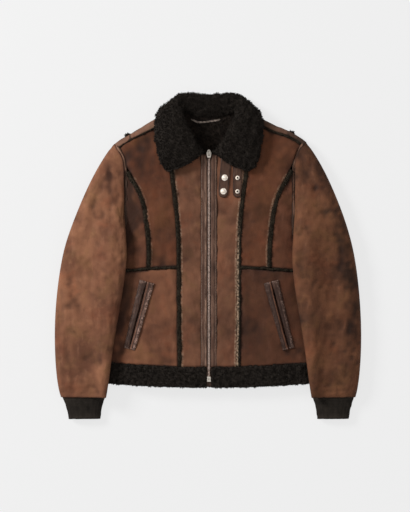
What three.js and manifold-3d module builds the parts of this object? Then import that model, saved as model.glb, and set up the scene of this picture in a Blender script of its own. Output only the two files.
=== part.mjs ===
// A short shearling coat laid flat on its back: wool side in, hide side out, with exposed
// wool seams, a folded wool collar, a wool hem band, rib cuffs, a front zip, welt pockets and
// a throat latch of two snap tabs. Millimetres, +Z up. The back lies on z = 0, the collar
// points to +Y, and the zip runs along x = 0. Pieces that come in pairs are made once for
// the +X side and mirrored.

import * as THREE from "three";
import { mergeVertices } from "three/addons/utils/BufferGeometryUtils.js";
import Module from "manifold-3d";

const wasm = await Module();
wasm.setup();

// Driving dimensions
const GAP = 0.3; // clearance between sewn neighbours
const HALF_GAP = GAP / 2;
const SKIN = 8; // hide and clipped wool together
const SEAM_HEIGHT = 14; // side and shoulder seams stand this far off the ground
const EDGE_RADIUS = 15; // roll of the body at its side seams
const SHOULDER_RADIUS = 8.5; // roll of the body at its shoulders

const BODY = { height: 38, underSleeve: 28, atShoulder: 31, atHem: 35 };
const HEM = { bandTop: -267, bandTopAtSide: -256, bottom: -317, bottomAtSide: -307, thickness: 11, rise: 3 };
const WOOL_SEAM = { width: 8.6, rise: 2.2, thickness: 7 };
const WAIST_WOOL = { ...WOOL_SEAM, width: 6 };
const SHOULDER_WOOL = { ...WOOL_SEAM, width: 4.8 };
const ARMHOLE_SEAM = { width: 6, rise: 1.2, thickness: 7 };
const PLACKET = { inner: 6.6, outer: 19, rise: 1, thickness: 7, top: 243 };
const ZIP = { tapeInner: 0.2, tapeThickness: 1.6, tapeDrop: 3, chainWidth: 6, chainHeight: 3.2 };
const SLIDER = { y: 242, width: 11, neck: 7.5, length: 14, height: 5.4, pinRadius: 0.9, pinHeight: 8.2 };
const PULL = { hubRadius: 2.3, boreRadius: 1.25, width: 4.4, blade: 7, length: 12, thickness: 1.5 };
const BOX = { y: -296, width: 9, length: 12.6, height: 4.2 };
const SLEEVE = { roundness: 2.5, rows: 14, columns: 10, flattening: 1.15, riseShare: 0.6 };
const CUFF = { thickness: 3.4, ribs: 24, rings: 3, ribHeight: 0.9, roundness: 2.3 };
const COLLAR = { roundness: 2.4, around: 18, rings: 19 };
const LATCH = { thickness: 3, clearance: 0.4 };
const SNAP = { capRadius: 7.5, capHeight: 3.2, studRadius: 5.2, postRadius: 2.4, studHeight: 3.4 };
const POCKET = { topX: 149, topY: -62, bottomX: 191.5, bottomY: -224, thickness: 3, slit: 3 };
const HANGER = { radius: 1.5 };

// Outline and seams, for the +X half
const SIDE_EDGE = [
  { y: -320, half: 247 },
  { y: -100, half: 247 },
  { y: 20, half: 245 },
];
const ARMHOLE = [
  { x: 226.5, y: 269 },
  { x: 217.5, y: 256 },
  { x: 206.5, y: 237 },
  { x: 201, y: 206 },
  { x: 200, y: 160 },
  { x: 200, y: 104 },
];
const UNDERARM = [
  { x: 200, y: 104 },
  { x: 201, y: 72 },
  { x: 207, y: 48 },
  { x: 222, y: 30 },
  { x: 245, y: 20 },
];
const SHOULDER_SEAM = [
  { x: 84, y: 331 },
  { x: 147, y: 300 },
  { x: 186, y: 281 },
  { x: 214, y: 263 },
  { x: 222, y: 257 },
];
const SHOULDER_EDGE = [
  { x: 84, y: 350 },
  { x: 127, y: 330 },
  { x: 160, y: 310 },
  { x: 186, y: 295 },
  { x: 204, y: 286 },
  { x: 222, y: 273 },
  { x: 229, y: 266 },
];
const PRINCESS_SEAM = [
  { x: 70, y: -267 },
  { x: 72, y: -107 },
  { x: 72, y: 1 },
  { x: 75, y: 80 },
  { x: 79, y: 121 },
  { x: 84, y: 157 },
  { x: 89, y: 200 },
  { x: 96, y: 262 },
  { x: 103, y: 317 },
];
const PANEL_SEAM = [
  { x: 145, y: -31 },
  { x: 144, y: -2 },
  { x: 145, y: 32 },
  { x: 150, y: 80 },
  { x: 156.5, y: 121 },
  { x: 168.5, y: 155 },
  { x: 190, y: 190 },
];
const WAIST_SEAM = [
  { x: 72, y: -27.5 },
  { x: 145, y: -31 },
  { x: 199, y: -36 },
  { x: 247, y: -40 },
];
const NECKLINE = [
  { x: 19.3, y: 240 },
  { x: 30, y: 257 },
  { x: 52, y: 282 },
  { x: 66, y: 308 },
  { x: 80, y: 327 },
];

// Soft folds: a ridge or trough at (x, y), turned from the X axis, that fades along and across
const FRONT_FOLDS = [
  { x: -48, y: -60, turn: 88, along: 150, across: 13, rise: 1.6 },
  { x: 47, y: 20, turn: 92, along: 170, across: 14, rise: 1.5 },
  { x: -115, y: 95, turn: 70, along: 70, across: 16, rise: 2.2 },
  { x: 118, y: 110, turn: 112, along: 75, across: 15, rise: 1.8 },
  { x: -112, y: -140, turn: 100, along: 70, across: 20, rise: 1.7 },
  { x: 125, y: -160, turn: 72, along: 80, across: 18, rise: -1.6 },
  { x: -165, y: 235, turn: 150, along: 45, across: 12, rise: -1.4 },
  { x: 160, y: 232, turn: 35, along: 45, across: 13, rise: 1.5 },
];
const SLEEVE_FOLDS = [
  { x: -255, y: 130, turn: 62, along: 55, across: 10, rise: -3.2 },
  { x: -232, y: 60, turn: 75, along: 60, across: 12, rise: 2.6 },
  { x: -300, y: -75, turn: 25, along: 45, across: 9, rise: -2.8 },
  { x: -270, y: -110, turn: -20, along: 40, across: 10, rise: 2.4 },
  { x: -300, y: -170, turn: 15, along: 50, across: 11, rise: -2.6 },
  { x: -290, y: -300, turn: 5, along: 45, across: 9, rise: 1.8 },
  { x: 262, y: 120, turn: 118, along: 60, across: 11, rise: -3 },
  { x: 236, y: 40, turn: 100, along: 60, across: 12, rise: 2.4 },
  { x: 300, y: -90, turn: 155, along: 50, across: 10, rise: -3 },
  { x: 275, y: -140, turn: 10, along: 45, across: 10, rise: 2.4 },
  { x: 305, y: -205, turn: 165, along: 45, across: 10, rise: -2.4 },
  { x: 295, y: -290, turn: 175, along: 45, across: 10, rise: 2 },
];

// Sleeve sections from armhole to wrist: outer edge, inner edge and thickness
const SLEEVE_SECTIONS = [
  { outerX: 232, outerY: 266, innerX: 203.3, innerY: 100, height: 35 },
  { outerX: 257, outerY: 229, innerX: 202, innerY: 82, height: 41 },
  { outerX: 281, outerY: 186, innerX: 199.5, innerY: 60, height: 45 },
  { outerX: 303, outerY: 138, innerX: 198, innerY: 36, height: 47 },
  { outerX: 323, outerY: 88, innerX: 196.5, innerY: 10, height: 48 },
  { outerX: 340, outerY: 32, innerX: 197, innerY: -17, height: 49 },
  { outerX: 352, outerY: -25, innerX: 200.5, innerY: -47, height: 50 },
  { outerX: 361, outerY: -90, innerX: 208, innerY: -98, height: 50 },
  { outerX: 366, outerY: -160, innerX: 219, innerY: -160, height: 49 },
  { outerX: 366, outerY: -222, innerX: 230, innerY: -226, height: 46 },
  { outerX: 363, outerY: -280, innerX: 237, innerY: -283, height: 42 },
  { outerX: 357, outerY: -324, innerX: 243, innerY: -324, height: 38 },
  { outerX: 352.5, outerY: -340, innerX: 246, innerY: -340, height: 34 },
];
const CUFF_SECTIONS = [
  { outerX: 350, innerX: 248.5, y: -340.3, height: 30 },
  { outerX: 346.5, innerX: 253, y: -350, height: 27 },
  { outerX: 342, innerX: 257, y: -361, height: 24.5 },
  { outerX: 339.5, innerX: 259.5, y: -377, height: 23 },
  { outerX: 337.5, innerX: 261, y: -393, height: 22 },
];

// Collar sections from the centre back round the neck to the front edge: the inner line is the
// neck seam, then the roll; the outer line is the fold, then the leaf's edge. top and floor are
// heights of its upper and lower faces, and bow swells the section's line towards the hem.
const COLLAR_SECTIONS = [
  { innerX: 0, innerY: 331, outerX: 0, outerY: 386.5, topIn: 15, topOut: 27, floorIn: 0, floorOut: 0, bow: 0 },
  { innerX: 22, innerY: 333, outerX: 21.6, outerY: 390.5, topIn: 15, topOut: 27, floorIn: 0, floorOut: 0, bow: 0 },
  { innerX: 42, innerY: 338, outerX: 46, outerY: 393, topIn: 16, topOut: 28, floorIn: 0, floorOut: 0, bow: 0 },
  { innerX: 54, innerY: 344, outerX: 67.7, outerY: 391.7, topIn: 19, topOut: 29, floorIn: 0, floorOut: 0, bow: 0 },
  { innerX: 60, innerY: 349, outerX: 84, outerY: 383, topIn: 27, topOut: 31, floorIn: 3, floorOut: 0, bow: 0 },
  { innerX: 62, innerY: 352, outerX: 102, outerY: 369, topIn: 40, topOut: 34, floorIn: 9, floorOut: 0, bow: 0 },
  { innerX: 62.5, innerY: 349, outerX: 118, outerY: 354, topIn: 54, topOut: 39, floorIn: 17, floorOut: 2, bow: 0 },
  { innerX: 61, innerY: 341, outerX: 128, outerY: 338, topIn: 62, topOut: 45, floorIn: 30, floorOut: 8, bow: 0 },
  { innerX: 58, innerY: 330, outerX: 131.6, outerY: 317, topIn: 67, topOut: 53, floorIn: 40, floorOut: 28, bow: 0 },
  { innerX: 53, innerY: 316, outerX: 131.6, outerY: 294, topIn: 69, topOut: 59, floorIn: 42.6, floorOut: 38, bow: 0 },
  { innerX: 46, innerY: 302, outerX: 129, outerY: 267, topIn: 69, topOut: 62, floorIn: 42.6, floorOut: 42.6, bow: 0 },
  { innerX: 38, innerY: 288, outerX: 124, outerY: 243, topIn: 69, topOut: 63, floorIn: 42.6, floorOut: 42.6, bow: 0 },
  { innerX: 29, innerY: 273, outerX: 118, outerY: 220, topIn: 68, topOut: 62, floorIn: 42.6, floorOut: 42.6, bow: 2 },
  { innerX: 19, innerY: 260, outerX: 111, outerY: 209, topIn: 66, topOut: 60, floorIn: 42.6, floorOut: 42.6, bow: 5 },
  { innerX: 10.5, innerY: 250, outerX: 101, outerY: 203.5, topIn: 61, topOut: 57, floorIn: 43.4, floorOut: 43.4, bow: 8 },
  { innerX: 12, innerY: 247.5, outerX: 98, outerY: 203.5, topIn: 53, topOut: 51, floorIn: 46, floorOut: 46, bow: 9 },
];

// Finishes
const FINISH = {
  hide: { color: 0x6b4534, roughness: 0.8 },
  wool: { color: 0x1f1a17, roughness: 1 },
  leather: { color: 0x4b362c, roughness: 0.5 },
  rib: { color: 0x2a2521, roughness: 0.95 },
  tape: { color: 0x2b2320, roughness: 0.9 },
  steel: { color: 0xc9c3ba, roughness: 0.3, metalness: 1 },
};

const coat = new THREE.Group();
const [body, sleeves, collars, zip, pockets, latch] = Array.from({ length: 6 }, () => new THREE.Group());
coat.add(body, sleeves, collars, zip, pockets, latch);

const { lerp, clamp } = THREE.MathUtils;
/** Eases from 0 at from to 1 at to, which may be either way round. */
const smooth = (from, to, value) => THREE.MathUtils.smoothstep((value - from) / (to - from), 0, 1);
const signedPower = (value, power) => Math.sign(value) * Math.abs(value) ** power;
const steps = (count) => Array.from({ length: count + 1 }, (_, i) => i / count);

/** A smooth plan curve through rows with x and y; returns points at shares 0 to 1 of its length. */
function planCurve(rows) {
  const curve = new THREE.SplineCurve(rows.map(({ x, y }) => new THREE.Vector2(x, y)));
  return (share) => curve.getPointAt(clamp(share, 0, 1));
}

/** The curve moved sideways: positive is to the right of its direction of travel. */
function besides(curve, offset) {
  const STEP = 1e-3;
  return (share) => {
    const ahead = curve(share + STEP).sub(curve(share - STEP)).normalize();
    return curve(share).add(new THREE.Vector2(ahead.y, -ahead.x).multiplyScalar(offset));
  };
}

/** A straight-line reading of column out at a value of column by, from rows in rising order. */
function lookUp(rows, by, out, value) {
  const next = rows.findIndex((row) => row[by] >= value);
  if (next === 0) return rows[0][out];
  if (next < 0) return rows[rows.length - 1][out];
  const [a, b] = [rows[next - 1], rows[next]];
  return lerp(a[out], b[out], (value - a[by]) / (b[by] - a[by]));
}

/** One smooth row of a table of sections, at share 0 to 1 of its rows. */
function section(rows, share) {
  const place = share * (rows.length - 1);
  const i = Math.min(Math.floor(place), rows.length - 2);
  const at = (k) => rows[clamp(k, 0, rows.length - 1)];
  const [a, b, c, d, w] = [at(i - 1), at(i), at(i + 1), at(i + 2), place - i];
  const made = {};
  for (const key of Object.keys(rows[0])) {
    const [p, q, r, s] = [a[key], b[key], c[key], d[key]];
    made[key] = q + 0.5 * w * (r - p + w * (2 * p - 5 * q + 4 * r - s + w * (3 * (q - r) + s - p)));
  }
  return made;
}

/** Height that a table of soft folds adds at a plan point. */
function foldHeight(folds, x, y) {
  return folds.reduce((sum, fold) => {
    const turn = THREE.MathUtils.degToRad(fold.turn);
    const [dx, dy] = [x - fold.x, y - fold.y];
    const along = (dx * Math.cos(turn) + dy * Math.sin(turn)) / fold.along;
    const across = (dy * Math.cos(turn) - dx * Math.sin(turn)) / fold.across;
    return sum + fold.rise * Math.exp(-along * along - across * across);
  }, 0);
}

/** Height of the front's hide above the ground, away from its rolled edges. */
function frontHeight(x, y) {
  const atSide = smooth(150, 222, Math.abs(x));
  const atShoulder = smooth(215, 305, y);
  const atHem = smooth(-150, -315, y);
  const crown = BODY.height - (BODY.height - BODY.atShoulder) * atShoulder - (BODY.height - BODY.atHem) * atHem;
  return lerp(crown, BODY.underSleeve, atSide) + foldHeight(FRONT_FOLDS, x, y) * (1 - atSide);
}

const sideEdge = (y) => lookUp(SIDE_EDGE, "y", "half", y);
/** How far the side is closed and rolled: 1 below the armhole, 0 beside it. */
const sideClosed = (y) => smooth(18, -15, y);
const shoulderEdge = (x) => lookUp(SHOULDER_EDGE, "x", "y", Math.abs(x));
const SHOULDER_SLOPE = THREE.MathUtils.degToRad(30);

/** The turn of a rolled edge at some depth inside it: 0 at the edge, a right angle past the roll. */
function rollTurn(depth, radius = EDGE_RADIUS) {
  return Math.acos(1 - clamp(depth / radius, 0, 1));
}

/** Outer and inner point of the front's wall at a plan point, rolled down at the side seam. */
function frontWall(x, y, { rise = 0, thickness = SKIN } = {}) {
  const closed = sideClosed(y);
  const turn = rollTurn(sideEdge(y) - Math.abs(x));
  const lift = lerp(1, Math.sin(turn), closed);
  const seam = SEAM_HEIGHT + HALF_GAP;
  const z = seam + (frontHeight(x, y) + rise - seam) * lift;
  const inward = thickness * Math.cos(turn) * closed * Math.sign(x);
  return [new THREE.Vector3(x, y, z), new THREE.Vector3(x - inward, y, z - thickness * lift)];
}

/** Outer and inner point of the yoke's wall, rolled over the shoulder's edge. */
function yokeWall(x, y) {
  const turn = rollTurn((shoulderEdge(x) - y) * Math.cos(SHOULDER_SLOPE), SHOULDER_RADIUS);
  const seam = SEAM_HEIGHT + HALF_GAP;
  const z = seam + (frontHeight(x, y) - seam) * Math.sin(turn);
  const inward = new THREE.Vector3(Math.sin(SHOULDER_SLOPE), Math.cos(SHOULDER_SLOPE), 0);
  const inner = new THREE.Vector3(x, y, z - SKIN * Math.sin(turn)).addScaledVector(inward, -SKIN * Math.cos(turn));
  return [new THREE.Vector3(x, y, z), inner];
}

/** Outer and inner point of the back's wall: flat on the ground, turned up at its closed edges. */
function backWall(x, y, { thickness = SKIN } = {}) {
  const side = { turn: rollTurn(sideEdge(y) - Math.abs(x)), closed: sideClosed(y) };
  const shoulderDepth = (shoulderEdge(x) - y) * Math.cos(SHOULDER_SLOPE);
  const shoulder = { turn: rollTurn(shoulderDepth, SHOULDER_RADIUS), closed: smooth(80, 96, Math.abs(x)) };
  const lift = Math.min(
    lerp(1, Math.sin(side.turn), side.closed),
    lerp(1, Math.sin(shoulder.turn), shoulder.closed),
  );
  const sideways = Math.cos(side.turn) * side.closed + Math.cos(shoulder.turn) * shoulder.closed * Math.sin(SHOULDER_SLOPE);
  const down = Math.cos(shoulder.turn) * shoulder.closed * Math.cos(SHOULDER_SLOPE);
  const z = (SEAM_HEIGHT - HALF_GAP) * (1 - lift);
  return [
    new THREE.Vector3(x, y, z),
    new THREE.Vector3(x - thickness * sideways * Math.sign(x), y - thickness * down, z + thickness * lift),
  ];
}

/** A closed solid from quads and triangles given as lists of points. */
function solidFrom(faces) {
  const positions = [];
  for (const face of faces) {
    for (let i = 2; i < face.length; i++) {
      for (const point of [face[0], face[i - 1], face[i]]) positions.push(point.x, point.y, point.z);
    }
  }
  const soup = new THREE.BufferGeometry();
  soup.setAttribute("position", new THREE.Float32BufferAttribute(positions, 3));
  const geometry = mergeVertices(soup, 1e-3);
  const { array } = geometry.index;
  const p = geometry.attributes.position;
  const [a, b, c] = [new THREE.Vector3(), new THREE.Vector3(), new THREE.Vector3()];
  let volume = 0;
  for (let i = 0; i < array.length; i += 3) {
    volume += a.fromBufferAttribute(p, array[i]).dot(b.fromBufferAttribute(p, array[i + 1]).cross(c.fromBufferAttribute(p, array[i + 2])));
  }
  if (volume < 0) {
    for (let i = 0; i < array.length; i += 3) [array[i], array[i + 1]] = [array[i + 1], array[i]];
  }
  return geometry;
}

/** A wall between two grids of points, grid[row][column], closed along its edges or round its columns. */
function wallBetween(outer, inner, { round = false } = {}) {
  const [rows, columns] = [outer.length, outer[0].length];
  const faces = [];
  const last = round ? columns : columns - 1;
  const next = (j) => (j + 1) % columns;
  for (let i = 0; i + 1 < rows; i++) {
    for (let j = 0; j < last; j++) {
      faces.push([outer[i][j], outer[i][next(j)], outer[i + 1][next(j)], outer[i + 1][j]]);
      faces.push([inner[i][j], inner[i + 1][j], inner[i + 1][next(j)], inner[i][next(j)]]);
    }
    if (!round) {
      const k = columns - 1;
      faces.push([outer[i][0], outer[i + 1][0], inner[i + 1][0], inner[i][0]]);
      faces.push([outer[i][k], inner[i][k], inner[i + 1][k], outer[i + 1][k]]);
    }
  }
  const m = rows - 1;
  for (let j = 0; j < last; j++) {
    faces.push([outer[0][j], inner[0][j], inner[0][next(j)], outer[0][next(j)]]);
    faces.push([outer[m][j], outer[m][next(j)], inner[m][next(j)], inner[m][j]]);
  }
  return solidFrom(faces);
}

/** A solid through closed rings of points, capped flat at both ends. */
function loftRings(rings) {
  const faces = [];
  const count = rings[0].length;
  for (let i = 0; i + 1 < rings.length; i++) {
    for (let j = 0; j < count; j++) {
      const k = (j + 1) % count;
      faces.push([rings[i][j], rings[i][k], rings[i + 1][k], rings[i + 1][j]]);
    }
  }
  const centre = (ring) => ring.reduce((sum, p) => sum.add(p), new THREE.Vector3()).divideScalar(count);
  const [first, final] = [rings[0], rings[rings.length - 1]];
  const [near, far] = [centre(first), centre(final)];
  for (let j = 0; j < count; j++) {
    const k = (j + 1) % count;
    faces.push([near, first[k], first[j]]);
    faces.push([far, final[j], final[k]]);
  }
  return solidFrom(faces);
}

/** A wall over a plan grid of points, raised by a function that gives its outer and inner point. */
function wallOver(grid, raise) {
  const pairs = grid.map((row) => row.map((point) => raise(point.x, point.y)));
  return wallBetween(
    pairs.map((row) => row.map((pair) => pair[0])),
    pairs.map((row) => row.map((pair) => pair[1])),
  );
}

/** Adds a named mesh to a group, in one of the finishes. */
function add(group, name, geometry, finish) {
  const mesh = new THREE.Mesh(geometry, new THREE.MeshStandardMaterial({ ...FINISH[finish], name: finish }));
  mesh.name = name;
  group.add(mesh);
  return mesh;
}

/** Adds NAME_left at -X and NAME_right at +X, as they lie; side is -1 and +1. */
function addPair(group, name, make, finish) {
  return [[-1, "left"], [1, "right"]].map(([side, word]) => add(group, `${name}_${word}`, make(side), finish));
}

/** A grid of plan points between two edges of the +X half, put on one side. bowed bends its last rows. */
function ruledGrid(inner, outer, shares, columns, side, bowed = null) {
  return shares.map((v) => {
    const [a, b] = [inner(v), outer(v)];
    return columns(a, b, v).map((u) => {
      const point = a.clone().lerp(b, u);
      if (bowed) {
        const straight = bowed(0).lerp(bowed(1), u);
        point.addScaledVector(bowed(u).sub(straight), v ** 4);
      }
      return new THREE.Vector2(point.x * side, point.y);
    });
  });
}

/** Column shares of a row: even, or closer together where the row runs into a rolled side. */
function evenColumns(count) {
  return () => steps(count);
}
function sideColumns(count) {
  const ROLL_TURNS = [0, 28, 58, 90];
  return (a, b, v) => {
    const length = a.distanceTo(b);
    const roll = Math.min(EDGE_RADIUS / length, 0.5);
    const rolled = ROLL_TURNS.map((turn) => 1 - roll * (1 - Math.cos(THREE.MathUtils.degToRad(turn)))).reverse();
    return [...steps(count).map((u) => u * (1 - roll)), ...rolled.slice(1)];
  };
}

/** A boundary that follows one curve and then another, the first taking the given share. */
function joined(first, second, share) {
  return (v) => (v < share ? first(v / share) : second((v - share) / (1 - share)));
}

const CHORD = 0.5; // allowance for straight facets along a curved seam
const halfSeam = WOOL_SEAM.width / 2 + GAP + CHORD;
const halfWaist = WAIST_WOOL.width / 2 + GAP + CHORD;
const princess = planCurve(PRINCESS_SEAM);
const panelSeam = planCurve(PANEL_SEAM);
const waist = planCurve(WAIST_SEAM);
const armhole = planCurve(ARMHOLE);
const underarm = planCurve(UNDERARM);
const shoulderSeam = planCurve(SHOULDER_SEAM);
const neckline = planCurve(NECKLINE);
const bodyArmhole = besides(armhole, ARMHOLE_SEAM.width / 2 + GAP);

/** Plan curve's point where it reaches a height y, as a share of its length. */
function shareAt(curve, y) {
  let [low, high] = [0, 1];
  for (let i = 0; i < 30; i++) {
    const middle = (low + high) / 2;
    if (curve(middle).y < y) low = middle;
    else high = middle;
  }
  return low;
}
/** The stretch of a rising curve between two heights. */
function stretch(curve, fromY, toY) {
  const [from, to] = [shareAt(curve, fromY), shareAt(curve, toY)];
  return (v) => curve(lerp(from, to, v));
}
/** The hem edge of the front, or the band's edges, at a plan x. */
const hemLine = (centre, side) => (x) => lerp(centre, side, (x / 247) ** 2);
const bandTop = hemLine(HEM.bandTop, HEM.bandTopAtSide);
const bandBottom = hemLine(HEM.bottom, HEM.bottomAtSide);
const waistY = (x) => lookUp(WAIST_SEAM, "x", "y", x);

const TOP_CLEAR = SHOULDER_WOOL.width / 2 + GAP + CHORD;
/** Where a curve that runs outwards reaches a plan x, as a share of its length. */
function shareAtX(curve, x) {
  let [low, high] = [0, 1];
  for (let i = 0; i < 30; i++) {
    const middle = (low + high) / 2;
    if (curve(middle).x < x) low = middle;
    else high = middle;
  }
  return low;
}
const frontLip = besides(shoulderSeam, TOP_CLEAR);

/** The share at which an outward curve comes within reach of the armhole's middle line. */
function shareAtArmhole(curve, reach) {
  const near = (share) => Math.min(...steps(60).map((v) => armhole(v).distanceTo(curve(share))));
  return steps(200).find((share) => near(share) < reach) ?? 1;
}
const ARMHOLE_REACH = ARMHOLE_SEAM.width / 2 + GAP + CHORD;

/** The share of the body's armhole at which it meets the shoulder seam's lower lip. */
function armholeTop() {
  const lipAt = (x) => frontLip(shareAtX(frontLip, x)).y;
  return steps(100).find((share) => bodyArmhole(share).y < lipAt(bodyArmhole(share).x));
}
/** Front shoulder seam's lower lip at a plan x. */
const shoulderLip = (x) => lookUp(SHOULDER_SEAM, "x", "y", x) - TOP_CLEAR / Math.cos(SHOULDER_SLOPE);

function frontCentre(side) {
  const inside = besides(princess, -halfSeam);
  const seam = stretch(inside, bandTop(70), shoulderLip(98));
  const edge = (v) => new THREE.Vector2(PLACKET.outer + GAP, lerp(bandTop(20), NECKLINE[0].y, v));
  const top = (v) => {
    const point = neckline(v * 0.97);
    return new THREE.Vector2(point.x, point.y);
  };
  const shares = [...steps(11).map((v) => v * 0.8), ...steps(4).slice(1).map((v) => 0.8 + 0.2 * v)];
  const grid = ruledGrid(joined(edge, top, 0.8), seam, shares, evenColumns(5), side);
  return wallOver(grid, frontWall);
}

function frontMiddle(side) {
  const inner = stretch(besides(princess, halfSeam), waistY(77) + halfWaist, shoulderLip(108));
  const seam = stretch(besides(panelSeam, -halfSeam), waistY(140) + halfWaist, 189);
  const hole = (v) => bodyArmhole(lerp(0.34, armholeTop(), v));
  const outer = joined(seam, hole, 0.72);
  const shares = [...steps(8).map((v) => v * 0.72), ...steps(4).slice(1).map((v) => 0.72 + 0.28 * v)];
  const [from, to] = [shareAtX(frontLip, inner(1).x), shareAtX(frontLip, outer(1).x)];
  const bowed = (u) => frontLip(lerp(from, to, u));
  return wallOver(ruledGrid(inner, outer, shares, evenColumns(6), side, bowed), frontWall);
}

function frontSide(side) {
  const inner = stretch(besides(panelSeam, halfSeam), waistY(149) + halfWaist, 178);
  const sideSeam = (v) => new THREE.Vector2(sideEdge(0), lerp(waistY(246) + halfWaist, 17.5, v));
  const under = besides(underarm, ARMHOLE_SEAM.width / 2 + GAP);
  const hole = (v) => (v < 0.5 ? under(1 - v / 0.5) : bodyArmhole(lerp(1, 0.49, (v - 0.5) / 0.5)));
  const outer = joined(sideSeam, hole, 0.25);
  const shares = [0, 0.12, 0.25, 0.36, 0.46, 0.54, 0.62, 0.7, 0.78, 0.86, 0.93, 1];
  return wallOver(ruledGrid(inner, outer, shares, sideColumns(4), side), frontWall);
}

/** A prism over a plan outline, from one height to another. */
function prism(points, low, high) {
  const shape = new THREE.Shape(points);
  const geometry = new THREE.ExtrudeGeometry(shape, { depth: high - low, bevelEnabled: false, curveSegments: 6 });
  geometry.translate(0, 0, low);
  return geometry;
}

/** A closed geometry as a manifold solid. */
function asManifold(geometry) {
  const bare = geometry.clone();
  bare.deleteAttribute("normal");
  bare.deleteAttribute("uv");
  const merged = mergeVertices(bare, 1e-4);
  return new wasm.Manifold(
    new wasm.Mesh({
      numProp: 3,
      vertProperties: new Float32Array(merged.attributes.position.array),
      triVerts: new Uint32Array(merged.index.array),
    }),
  );
}

/** A manifold solid as a geometry. */
function asGeometry(solid) {
  const { vertProperties, triVerts } = solid.getMesh();
  const geometry = new THREE.BufferGeometry();
  geometry.setAttribute("position", new THREE.BufferAttribute(new Float32Array(vertProperties), 3));
  geometry.setIndex(new THREE.BufferAttribute(new Uint32Array(triVerts), 1));
  return geometry;
}

/** A plan point of the pocket, by share along it from the top and distance across it to the side. */
function pocketPoint(along, across, side) {
  const top = new THREE.Vector2(POCKET.topX, POCKET.topY);
  const bottom = new THREE.Vector2(POCKET.bottomX, POCKET.bottomY);
  const way = bottom.clone().sub(top).normalize();
  const point = top.lerp(bottom, along).add(new THREE.Vector2(-way.y, way.x).multiplyScalar(across));
  return new THREE.Vector2(point.x * side, point.y);
}

function frontLower(side) {
  const inner = stretch(besides(princess, halfSeam), bandTop(75), waistY(77) - halfWaist);
  const outer = (v) => new THREE.Vector2(247, lerp(HEM.bandTopAtSide, waistY(246) - halfWaist, v));
  const panel = asManifold(wallOver(ruledGrid(inner, outer, steps(8), sideColumns(5), side), frontWall));
  const half = POCKET.slit / 2;
  const corners = [[0.07, -half], [0.93, -half], [0.93, half], [0.07, half]];
  const slit = corners.map(([along, across]) => pocketPoint(along, across, side));
  if (side < 0) slit.reverse();
  return asGeometry(panel.subtract(asManifold(prism(slit, 0, 60))));
}

addPair(body, "front_centre", frontCentre, "hide");
addPair(body, "front_middle", frontMiddle, "hide");
addPair(body, "front_side", frontSide, "hide");
addPair(body, "front_lower", frontLower, "hide");

/** A raised ribbon of wool along a seam: a low ridge between the two panels' edges. */
function woolRibbon(curve, from, to, count, side, { width, rise, thickness } = WOOL_SEAM) {
  const ACROSS = [-1, -0.5, 0.5, 1];
  const CREST = [0, 1, 1, 0];
  const rows = steps(count).map((v) => ACROSS.map((u) => besides(curve, (u * width) / 2)(lerp(from, to, v))));
  const pairs = rows.map((row) => row.map((p, j) => {
    const [outer, inner] = frontWall(p.x * side, p.y, { thickness });
    outer.z += rise * (0.35 + 0.65 * CREST[j]);
    return [outer, inner];
  }));
  return wallBetween(pairs.map((row) => row.map((q) => q[0])), pairs.map((row) => row.map((q) => q[1])));
}

addPair(body, "princess_wool", (side) => woolRibbon(princess, shareAt(princess, -266), shareAt(princess, 311), 18, side), "wool");
addPair(body, "panel_wool", (side) => {
  const from = shareAt(panelSeam, waistY(145) + halfWaist + CHORD);
  return woolRibbon(panelSeam, from, shareAt(panelSeam, 181), 12, side);
}, "wool");
addPair(body, "waist_wool", (side) => {
  const start = (WOOL_SEAM.width / 2 + GAP) / 175;
  return woolRibbon(waist, start, 1, 16, side, WAIST_WOOL);
}, "wool");
addPair(body, "shoulder_wool", (side) => {
  const end = shareAtArmhole(shoulderSeam, ARMHOLE_REACH + SHOULDER_WOOL.width / 2);
  return woolRibbon(shoulderSeam, 0.02, end, 9, side, SHOULDER_WOOL);
}, "wool");
addPair(body, "armhole_seam", (side) => woolRibbon(armhole, 0.05, 0.99, 10, side, ARMHOLE_SEAM), "hide");

/** The back yoke where it comes forward over the shoulder, from its edge to the front seam. */
function yoke(side) {
  const lip = besides(shoulderSeam, -TOP_CLEAR - 2 * CHORD);
  const edge = planCurve(SHOULDER_EDGE);
  const [edgeEnd, lipEnd] = [edge, lip].map((curve) => shareAtArmhole(curve, ARMHOLE_REACH));
  const ROLL = [0, 0.1, 0.3, 0.6, 1];
  const rows = steps(9).map((v) => {
    const [a, b] = [edge(v * edgeEnd), lip(lerp(0.005, lipEnd, v))];
    return ROLL.map((u) => new THREE.Vector2(lerp(a.x, b.x, u), lerp(a.y, b.y, u)));
  });
  const mirror = ([outer, inner]) => {
    for (const point of [outer, inner]) point.x *= side;
    return [outer, inner];
  };
  return wallOver(rows, (x, y) => mirror(yokeWall(x, y)));
}
addPair(body, "yoke", yoke, "hide");

/** A stub of seam wool that pokes out over the shoulder's edge. */
function shoulderTuft(side) {
  const TUFT = { radius: 2.4, length: 9, share: 0.75 };
  const at = planCurve(SHOULDER_EDGE)(TUFT.share);
  const outward = new THREE.Vector2(Math.sin(SHOULDER_SLOPE), Math.cos(SHOULDER_SLOPE));
  const place = at.addScaledVector(outward, TUFT.radius + 2 * GAP);
  const geometry = new THREE.CapsuleGeometry(TUFT.radius, TUFT.length - 2 * TUFT.radius, 3, 8);
  geometry.rotateZ(Math.PI / 2 - SHOULDER_SLOPE * side).translate(place.x * side, place.y, SEAM_HEIGHT);
  return geometry;
}
addPair(body, "shoulder_tuft", shoulderTuft, "wool");

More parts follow.
